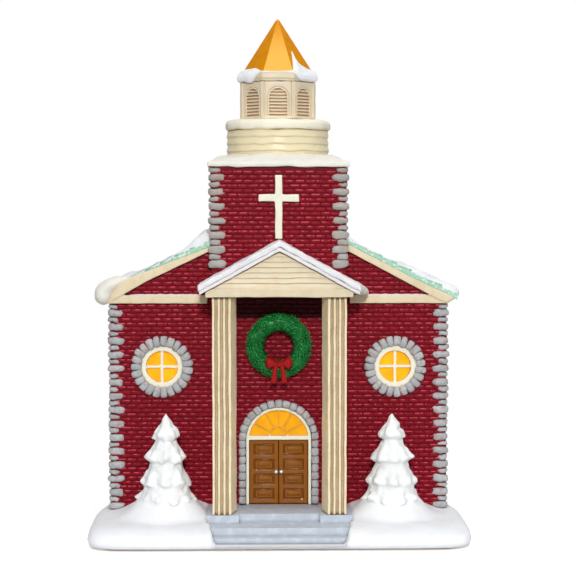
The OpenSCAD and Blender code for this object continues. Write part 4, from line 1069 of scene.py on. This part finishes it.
# Spire: a short eight-sided point in gold paint, glued on the cornice.
# A painted sheen makes a face seen straight on paler; the paint is darker where thin, and rubbed at the tip.
GOLD_SHEEN = (0.80, 0.425, 0.075, 1)
GOLD = (0.64, 0.235, 0.001, 1)
GOLD_DEEP = (0.53, 0.185, 0.001, 1)
GOLD_RUBBED = (0.86, 0.72, 0.45, 1)
SHEEN_TURNS = (0.14, 0.36)   # from the face seen straight on to the sides, as 1 - cos of the angle
spire_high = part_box("spire")[1]
gold, gold_tree, gold_shader, gold_place = start_paint("gold_paint", 0.48, specular=0.06)
gold_shader.inputs["Metallic"].default_value = 0.05
gold_thin = times(gold_tree, ramp(gold_tree, cloud(gold_tree, gold_place, 2.6), 0.42, 0.72), 0.55)
# Painted sheen: paler gold on the faces seen straight on, in place of the light they reflect.
facing = node(gold_tree, "ShaderNodeLayerWeight").outputs["Facing"]
gold_colour = blend_colour(gold_tree, ramp(gold_tree, facing, *SHEEN_TURNS), GOLD_SHEEN,
                           blend_colour(gold_tree, gold_thin, GOLD, GOLD_DEEP))
rubbed = ramp(gold_tree, axes(gold_tree, gold_place)["Z"], spire_high.z - 1.8 * MM, spire_high.z - 0.4 * MM)
feed(gold_tree, gold_shader.inputs["Base Color"], blend_colour(gold_tree, rubbed, gold_colour, GOLD_RUBBED))
raise_grain(gold_tree, gold_shader, cloud(gold_tree, gold_place, 1.1, 4.0), 0.1, 0.5)
softened("gold_spire", "spire", gold, 0.15, 2)

# Cornice snow: heaps of snow on the cornice, and one drift up the front right face of the spire.
# It is cast with the cornice and painted white.
cornice_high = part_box("belfry_cornice")[1]
SPIRE_FOOT = cornice_high.z
# Middle and half width in degrees, and fullness, of the heaps that hang over the cornice
HEAPS = ((-154, 33, 1.0), (-40, 27, 0.9), (98, 30, 0.8))
WEDGE_HIGH = 8.6 * MM      # drift up the front right face of the spire
WEDGE_ROWS = 12
RIM_STEPS = 144


def heaped_at(turn):
    """How full the snow on the cornice is in one direction, from 0 for a thin rim to 1."""
    most = 0.0
    for middle, half, full in HEAPS:
        off = abs((math.degrees(turn) - middle + 180) % 360 - 180)
        most = max(most, full * (1.0 - smoothstep(half - 13, half + 7, off)))
    return most


lumps = bmesh.new()
sections = []
for k in range(RIM_STEPS + 1):
    turn = math.tau * k / RIM_STEPS
    off_face = (turn + math.pi / 8) % (math.pi / 4) - math.pi / 8
    rim_r = cornice_high.x / math.cos(off_face)
    full = heaped_at(turn)
    wave = 0.12 * math.sin(7 * turn) + 0.08 * math.sin(13 * turn + 1)
    high = (0.35 + (1.25 + wave) * full) * MM
    hang = (0.35 + (3.5 + 2.0 * wave) * full) * MM
    out = (0.15 + 0.8 * full) * MM
    profile = ((-4.0 * MM, -0.7 * MM), (-3.0 * MM, high), (-1.8 * MM, 0.95 * high), (-0.6 * MM, 0.5 * high),
               (0.5 * out, -0.1 * hang), (out, -0.4 * hang), (0.9 * out, -0.8 * hang), (0.3 * out, -hang),
               (-0.7 * MM, -hang), (-0.7 * MM, -0.8 * hang))
    sections.append([polar(rim_r + r, turn, SPIRE_FOOT + z) for r, z in profile])
lofted(lumps, sections)
corner_r = spire_high.x / math.cos(math.pi / 8)
near_corner = polar(corner_r, math.radians(-67.5), 0)
far_corner = polar(corner_r, math.radians(-22.5), 0)
spire_tall = spire_high.z - SPIRE_FOOT
face_out = Vector((spire_tall / math.sqrt(2), -spire_tall / math.sqrt(2), spire_high.x)).normalized()
rows = []
for k in range(WEDGE_ROWS + 1):
    up = k / WEDGE_ROWS
    shrunk = 1.0 - WEDGE_HIGH * up / spire_tall
    rise = Vector((0, 0, SPIRE_FOOT + WEDGE_HIGH * up))
    first = shrunk * near_corner.lerp(far_corner, 0.29 * up) + rise
    last = shrunk * near_corner.lerp(far_corner, 0.34 + 0.66 * (1.0 - up) ** 2.3) + rise
    thick = (1.3 - 0.7 * up) * MM
    profile = ((0.0, -0.6 * MM), (0.0, 0.4 * thick), (0.25, thick), (0.6, 0.9 * thick), (1.0, 0.3 * MM),
               (1.0, -0.6 * MM))
    rows.append([first.lerp(last, share) + face_out * lift for share, lift in profile])
lofted(lumps, rows)
drift = melted("cornice_drift", lumps, 0.25, 6, snow)
roughen(drift, 0.25, 4.0)
dress(drift, "cornice_snow")

# Columns: two square porch posts with flutes, cast solid and glued between the cheek blocks and the beam.
# Cream paint, with the brown wash left thick in the flutes.
column_paint = washed_paint("column_paint", (0.85, 0.73, 0.50, 1), (0.165, 0.078, 0.025, 1), 1.4, 0.42, 0.4,
                            (0.66, 0.48, 0.25, 1), 0.5, 1.0, 1.0)
for side, word in SIDES:
    cast_copy("fluted_column_" + word, "column_" + word, column_paint, 0.15, 1, 0.15, 7.0)

# Portico: a cast gable block with a round-edged beam below and clapboards above, cream with brown lap lines.
# A thin roof in two slopes sits on it, and a drift of snow on that.
board_paint = washed_paint("board_paint", (0.69, 0.605, 0.435, 1), (0.36, 0.20, 0.09, 1), 0.6, 0.42, 0.4,
                           CREAM_SHADE, 0.5, 1.0)
cast_copy("clapboard_pediment", "portico_pediment", board_paint, 0.18, 1, 0.2, 6.0)
edge_paint = washed_paint("edge_paint", (0.80, 0.79, 0.80, 1), (0.50, 0.44, 0.44, 1), 0.9, 0.42, 0.4,
                          (0.70, 0.68, 0.72, 1), 0.5, 0.35)
cast_copy("portico_edge", "portico_roof", edge_paint, 0.3, 2, 0.2, 5.0)
porch_snow = snow_paint("porch_snow", (0.78, 0.77, 0.79, 1), (0.66, 0.63, 0.68, 1))
cast_copy("portico_drift", "portico_snow", porch_snow, 0.3, 4, 0.35, 3.0, 0.12)

# Door surround: stones up both jambs and round the arch, cast with the front wall and painted grey.
# Each stone is a separate lump in the casting.
ARCH_STONES = 15
JAMB_STONES = 8
arch_low, arch_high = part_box("door_surround")
arch_r = arch_high.x
arch_z = arch_high.z - arch_r
arch_wide = 2.9 * MM
stone_y = (arch_low.y + arch_high.y) / 2 + 0.1 * MM
stone_deep = arch_high.y - arch_low.y + 0.6 * MM


def ring_spots(centre, radius, first, last, count, wide):
    """Spots of stones round an arc, each pointing away from its centre."""
    spots = []
    step = (last - first) / count
    for k in range(count):
        turn = first + (k + 0.5) * step
        place = (centre[0] + radius * math.cos(turn), centre[1], centre[2] + radius * math.sin(turn))
        spots.append((place, (0, -turn, 0), (wide, stone_deep, 1.06 * radius * abs(step))))
    return spots


arch_middle = arch_r - 0.5 * arch_wide
spots = ring_spots((0, stone_y, arch_z), arch_middle, 0, math.pi, ARCH_STONES, arch_wide)
jamb = (arch_z - arch_low.z) / JAMB_STONES
for k in range(JAMB_STONES):
    for side in (-1, 1):
        spots.append(((side * arch_middle, stone_y, arch_low.z + (k + 0.5) * jamb), (0, 0, 0),
                      (arch_wide, stone_deep, 1.06 * jamb)))
surround = lay("door_stones", stone_shape, spots, stone_grey, 71, 0.05, 0.05)
roughen(surround, 0.25, 2.0)
dress(surround, "door_surround")

# Door: an ivory frame with a transom and fan rays, two glossy brown leaves, silver knobs and an amber pane.
# Frame and leaves are cast with the front wall; the pane is clear plastic in amber, glued in behind.
frame_paint = washed_paint("frame_paint", (0.84, 0.83, 0.69, 1), (0.42, 0.26, 0.10, 1), 0.7, 0.4, 0.3,
                           (0.80, 0.74, 0.52, 1), 0.5, 0.7)
RAY_AMBER = (0.80, 0.42, 0.05, 1)
frame_tree = frame_paint.node_tree
frame_shader = frame_tree.nodes["Principled BSDF"]
ivory_colour = frame_shader.inputs["Base Color"].links[0].from_socket
frame_place = node(frame_tree, "ShaderNodeTexCoord").outputs["Object"]
flattened = node(frame_tree, "ShaderNodeVectorMath", {0: frame_place, 1: (1, 0, 1)}, operation="MULTIPLY")
from_middle = node(frame_tree, "ShaderNodeVectorMath", {0: flattened.outputs[0], 1: (0, 0, door_spring)},
                   operation="DISTANCE")
in_arch = ramp(frame_tree, from_middle.outputs["Value"], door_half - 1.3 * MM, door_half - 1.6 * MM)
frame_up = axes(frame_tree, frame_place)["Z"]
over_transom = ramp(frame_tree, frame_up, door_spring + 1.9 * MM, door_spring + 2.2 * MM)
in_fan = times(frame_tree, in_arch, over_transom)
feed(frame_tree, frame_shader.inputs["Base Color"], blend_colour(frame_tree, in_fan, ivory_colour, RAY_AMBER))
cast_copy("ivory_door_frame", "door_frame", frame_paint, 0.2, 1, 0.05, 5.0)
door_paint = washed_paint("door_paint", (0.245, 0.075, 0.001, 1), (0.085, 0.022, 0.001, 1), 0.8, 0.2, 0.35,
                          (0.31, 0.105, 0.002, 1), 0.7, 0.8)
for side, word in SIDES:
    cast_copy("panelled_leaf_" + word, "door_leaf_" + word, door_paint, 0.18, 1, 0.06, 4.0)
PANELS = 4
STILE = 1.7 * MM
pillow_shape = cushion_shape("pillow_shape", [(0.5, 0.5, -0.2), (0.46, 0.42, 0.55), (0.36, 0.26, 0.9),
                                              (0.2, 0.1, 1.0)])
spots = []
for side, word in SIDES:
    leaf_low, leaf_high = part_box("door_leaf_" + word)
    cell = (leaf_high.z - leaf_low.z - STILE) / PANELS
    wide = leaf_high.x - leaf_low.x - 2 * STILE
    for k in range(PANELS):
        place = ((leaf_low.x + leaf_high.x) / 2, leaf_low.y + 0.1 * MM,
                 leaf_low.z + STILE + (k + 0.42) * cell)
        spots.append((place, (0, 0, 0), (0.66 * wide, 0.5 * MM, 0.48 * (cell - STILE))))
dress(lay("panel_pillows", pillow_shape, spots, door_paint, 91))
bpy.data.objects.remove(pillow_shape)
silver, _, silver_shader, _ = start_paint("silver_paint", 0.32)
silver_shader.inputs["Base Color"].default_value = (0.72, 0.72, 0.74, 1)
silver_shader.inputs["Metallic"].default_value = 0.8
put_on(["door_knobs"], silver)


def glossed(material, weight):
    """Clear lacquer over a paint, with small sharp lights."""
    shader = material.node_tree.nodes["Principled BSDF"]
    for label, value in (("Roughness", 0.5), ("Specular IOR Level", 0.05), ("Coat Weight", weight),
                         ("Coat Roughness", 0.07)):
        shader.inputs[label].default_value = value


glossed(door_paint, 0.3)


def amber_paint(name, dim, bright):
    """Amber plastic with a painted glow standing in for a lamp behind it, a little brighter in soft patches.
    """
    material, tree, shader, place = start_paint(name, 0.3, coat=0.1)
    colour = blend_colour(tree, ramp(tree, cloud(tree, place, 5.0), 0.3, 0.75), dim, bright)
    # Painted glow: the pane gives off its own colour as light, though no lamp in the scene lights it.
    for label, value in (("Base Color", colour), ("Emission Color", colour), ("Emission Strength", 0.3)):
        feed(tree, shader.inputs[label], value)
    raise_grain(tree, shader, cloud(tree, place, 1.2), 0.06, 0.5)
    return material


put_on(["fanlight_pane"], amber_paint("fan_amber", (0.70, 0.31, 0.001, 1), (0.78, 0.37, 0.003, 1)))
put_on(["window_pane_left", "window_pane_right"],
       amber_paint("window_amber", (0.86, 0.34, 0.004, 1), (0.95, 0.46, 0.008, 1)))

# Windows: each a ring of grey stones on the brick, with a wide cream frame and cross bars over the pane.
# Ring and frame are cast with the wall and painted.
RING_STONES = 23
RING_WIDE = 4.2 * MM
for side, word in SIDES:
    ring_low, ring_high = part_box("window_surround_" + word)
    ring_r = (ring_high.x - ring_low.x) / 2
    spots = ring_spots((ring_low + ring_high) / 2, ring_r - 0.5 * RING_WIDE, 0, math.tau, RING_STONES,
                       RING_WIDE)
    ring = lay("window_stones_" + word, stone_shape, spots, stone_grey, 75 + side, 0.06, 0.05)
    roughen(ring, 0.3, 2.0)
    dress(ring, "window_surround_" + word)
    cast_copy("cream_window_" + word, "window_frame_" + word, frame_paint, 0.2, 1, 0.08, 4.0)
bpy.data.objects.remove(stone_shape)

# Wreath: a ring of fir needles, cast with the front wall over the door and painted glossy green.
# The needles are raised strokes that splay off the ring.
WREATH_GREEN = (0.010, 0.29, 0.044, 1)
WREATH_DARK = (0.003, 0.045, 0.014, 1)
WREATH_PALE = (0.04, 0.52, 0.12, 1)
ROUND_RING = 84            # rows of needles round the ring
ROUND_TUBE = 13            # needles in a row, over the part of the tube that shows
CORE_RING = 64
CORE_TUBE = 20
wreath_low, wreath_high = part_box("wreath")
tube_r = (wreath_high.y - wreath_low.y) / 2
ring_mid_r = wreath_high.x - tube_r
wreath_at = (wreath_low + wreath_high) / 2
green, green_tree, green_shader, _ = start_paint("wreath_paint", 0.36, 0.2)
green_share = ramp(green_tree, kept(green_tree, "tone"), 0.45, 1.0)
green_body = blend_colour(green_tree, green_share, WREATH_GREEN, WREATH_PALE)
green_gaps = times(green_tree, crevice(green_tree, 1.2), 0.9)
green_deep = blend_colour(green_tree, green_gaps, green_body, WREATH_DARK)
feed(green_tree, green_shader.inputs["Base Color"], green_deep)


def tube_point(turn, roll, out):
    """A point on the wreath's ring, at a distance from the middle of its tube."""
    reach = ring_mid_r + out * math.cos(roll)
    return Vector((reach * math.cos(turn), -out * math.sin(roll), reach * math.sin(turn)))


core_verts = []
core_faces = []
for i in range(CORE_RING):
    for j in range(CORE_TUBE):
        turn = math.tau * i / CORE_RING
        roll = math.tau * j / CORE_TUBE
        out = (tube_r - 0.75 * MM) * (1 + 0.07 * math.sin(9 * turn + 2 * roll))
        core_verts.append(wreath_at + tube_point(turn, roll, out))
        here = CORE_TUBE * i
        onward = CORE_TUBE * ((i + 1) % CORE_RING)
        m = (j + 1) % CORE_TUBE
        core_faces.append((here + j, onward + j, onward + m, here + m))
wreath = mesh_piece("wreath_core", core_verts, core_faces, green)
outward_faces(wreath)
needle_corners = [(0.5, 0, 0), (0, 0.5, 0), (-0.5, 0, 0), (0, -0.5, 0), (0, 0, 1), (0, 0, -0.6)]
needle_faces = [(k, (k + 1) % 4, 4) for k in range(4)] + [((k + 1) % 4, k, 5) for k in range(4)]
needle_shape = mesh_piece("needle_shape", needle_corners, needle_faces, None)
spots = []
for i in range(ROUND_RING):
    for j in range(ROUND_TUBE):
        turn = math.tau * (i + 0.37 * j) / ROUND_RING
        roll = math.radians(-40 + 260 * (j + 0.5) / ROUND_TUBE)
        wave = 0.5 * math.sin(11 * turn + 3 * roll) + 0.3 * math.sin(23 * turn)
        place = tube_point(turn, roll, tube_r - 0.75 * MM)
        along = tube_point(turn + 0.01, roll, tube_r) - tube_point(turn, roll, tube_r)
        outward = place - tube_point(turn, roll, 0.0)
        across = tube_point(turn, roll + 0.01, tube_r) - tube_point(turn, roll, tube_r)
        aim = 0.55 * along.normalized() + 0.42 * outward.normalized() + (0.7 + wave) * across.normalized()
        spots.append((wreath_at + place, aim.to_track_quat("Z", "Y").to_euler(),
                      (0.7 * MM, 0.7 * MM, 2.0 * MM)))
needles = lay("wreath_needles", needle_shape, spots, green, 81, 0.25, 0.25)
bpy.data.objects.remove(needle_shape)
dress(wreath, "wreath")
dress(needles)

# Bow: two loops, a knot and two forked tails, cast with the wreath and painted glossy red.
# It lies on the foot of the wreath.
bow_low, bow_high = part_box("wreath_bow")
bow_paint = washed_paint("bow_paint", (0.31, 0.001, 0.003, 1), (0.09, 0.001, 0.002, 1), 1.0, 0.18, 0.3,
                         (0.40, 0.003, 0.006, 1), 0.6, 0.85)
KNOT_DOWN = 3.1 * MM       # from the top of the bow's box to the knot
bow_at = Vector((0, (bow_low.y + bow_high.y) / 2, bow_high.z - KNOT_DOWN))
LOOP_RINGS = 10
LOOP_AROUND = 14
TAIL_RINGS = 9
TAIL_AROUND = 12


def bow_loop(shape, side):
    """One puffed loop, from the pinch at the knot to its round end."""
    rings = []
    for k in range(LOOP_RINGS):
        out = k / (LOOP_RINGS - 1)
        middle = bow_at + Vector((side * (0.4 + 4.9 * out) * MM, 0, (0.25 + 0.35 * out) * MM))
        swell = math.sqrt(max(0.0, 1.0 - (max(0.0, out - 0.72) / 0.28) ** 2))
        tall = (0.8 + 1.75 * smoothstep(0.0, 0.75, out)) * max(0.12, swell) * MM
        deep = (0.8 + 0.5 * out) * max(0.2, swell) * MM
        turns = [math.tau * m / LOOP_AROUND for m in range(LOOP_AROUND)]
        rings.append([middle + Vector((0, deep * math.sin(t) * (1.0 - 0.3 * math.cos(2 * t)),
                                       tall * math.cos(t))) for t in turns])
    lofted(shape, rings)


def bow_tail(shape, side):
    """One tail, which hangs outwards from the knot and is forked at its end."""
    rings = []
    for k in range(TAIL_RINGS):
        down = k / (TAIL_RINGS - 1)
        out = 0.7 + 1.9 * down + 0.3 * math.sin(5 * down)
        middle = bow_at + Vector((side * out * MM, -0.1 * MM, -7.0 * MM * down))
        wide = (0.8 + 0.45 * down) * MM
        turns = [math.tau * m / TAIL_AROUND for m in range(TAIL_AROUND)]
        rings.append([middle + Vector((wide * math.cos(t), 0.6 * MM * math.sin(t),
                                       -0.7 * MM * down * abs(math.cos(t)))) for t in turns])
    lofted(shape, rings)


bow = bmesh.new()
for side, word in SIDES:
    bow_loop(bow, side)
    bow_tail(bow, side)
add_lump(bow, bow_at / MM + Vector((0, -0.25, 0)), (1.15, 1.2, 1.15))
ribbon = melted("red_bow", bow, 0.16, 2, bow_paint)
glossed(bow_paint, 0.3)
dress(ribbon, "wreath_bow")

# Light unit: the black plate, the battery box, the switch and the lamp under the church.
# Moulded plastic, steel cells and contacts, four screws; the battery door and the switch knob slide.
def plain_finish(name, colour, roughness, metallic, grain_mm, depth_mm):
    """One colour with a fine moulded or rolled grain."""
    material, tree, shader, place = start_paint(name, roughness)
    shader.inputs["Metallic"].default_value = metallic
    other = tuple(0.8 * c for c in colour[:3]) + (1,)
    mottled = blend_colour(tree, ramp(tree, cloud(tree, place, 4.0), 0.4, 0.7), colour, other)
    feed(tree, shader.inputs["Base Color"], mottled)
    raise_grain(tree, shader, cloud(tree, place, grain_mm, 2.0), depth_mm, 0.6)
    return material


# CAD nodes, and their finish: name, colour, roughness, metallic, and size and depth of the grain in mm
FINISHES = ((["light_tray", "battery_door"], "black_plastic", (0.022, 0.022, 0.024, 1), 0.48, 0.0, 0.5, 0.05),
            (["switch_body"], "switch_plastic", (0.035, 0.035, 0.04, 1), 0.4, 0.0, 0.5, 0.03),
            (["switch_slider"], "white_plastic", (0.78, 0.78, 0.76, 1), 0.38, 0.0, 0.5, 0.03),
            (["cells"], "cell_can", (0.30, 0.33, 0.37, 1), 0.34, 0.7, 1.5, 0.02),
            (["contact_springs", "contact_plates"], "contact_metal", (0.72, 0.66, 0.52, 1), 0.3, 1.0,
             0.8, 0.02),
            (["tray_screws"], "screw_metal", (0.55, 0.55, 0.57, 1), 0.35, 1.0, 0.6, 0.02),
            (["lamp_board"], "board_green", (0.02, 0.13, 0.05, 1), 0.42, 0.0, 0.7, 0.03),
            (["lamp"], "lamp_dome", (0.92, 0.80, 0.50, 1), 0.2, 0.0, 1.0, 0.01))
for nodes, *finish in FINISHES:
    put_on(nodes, plain_finish(*finish))
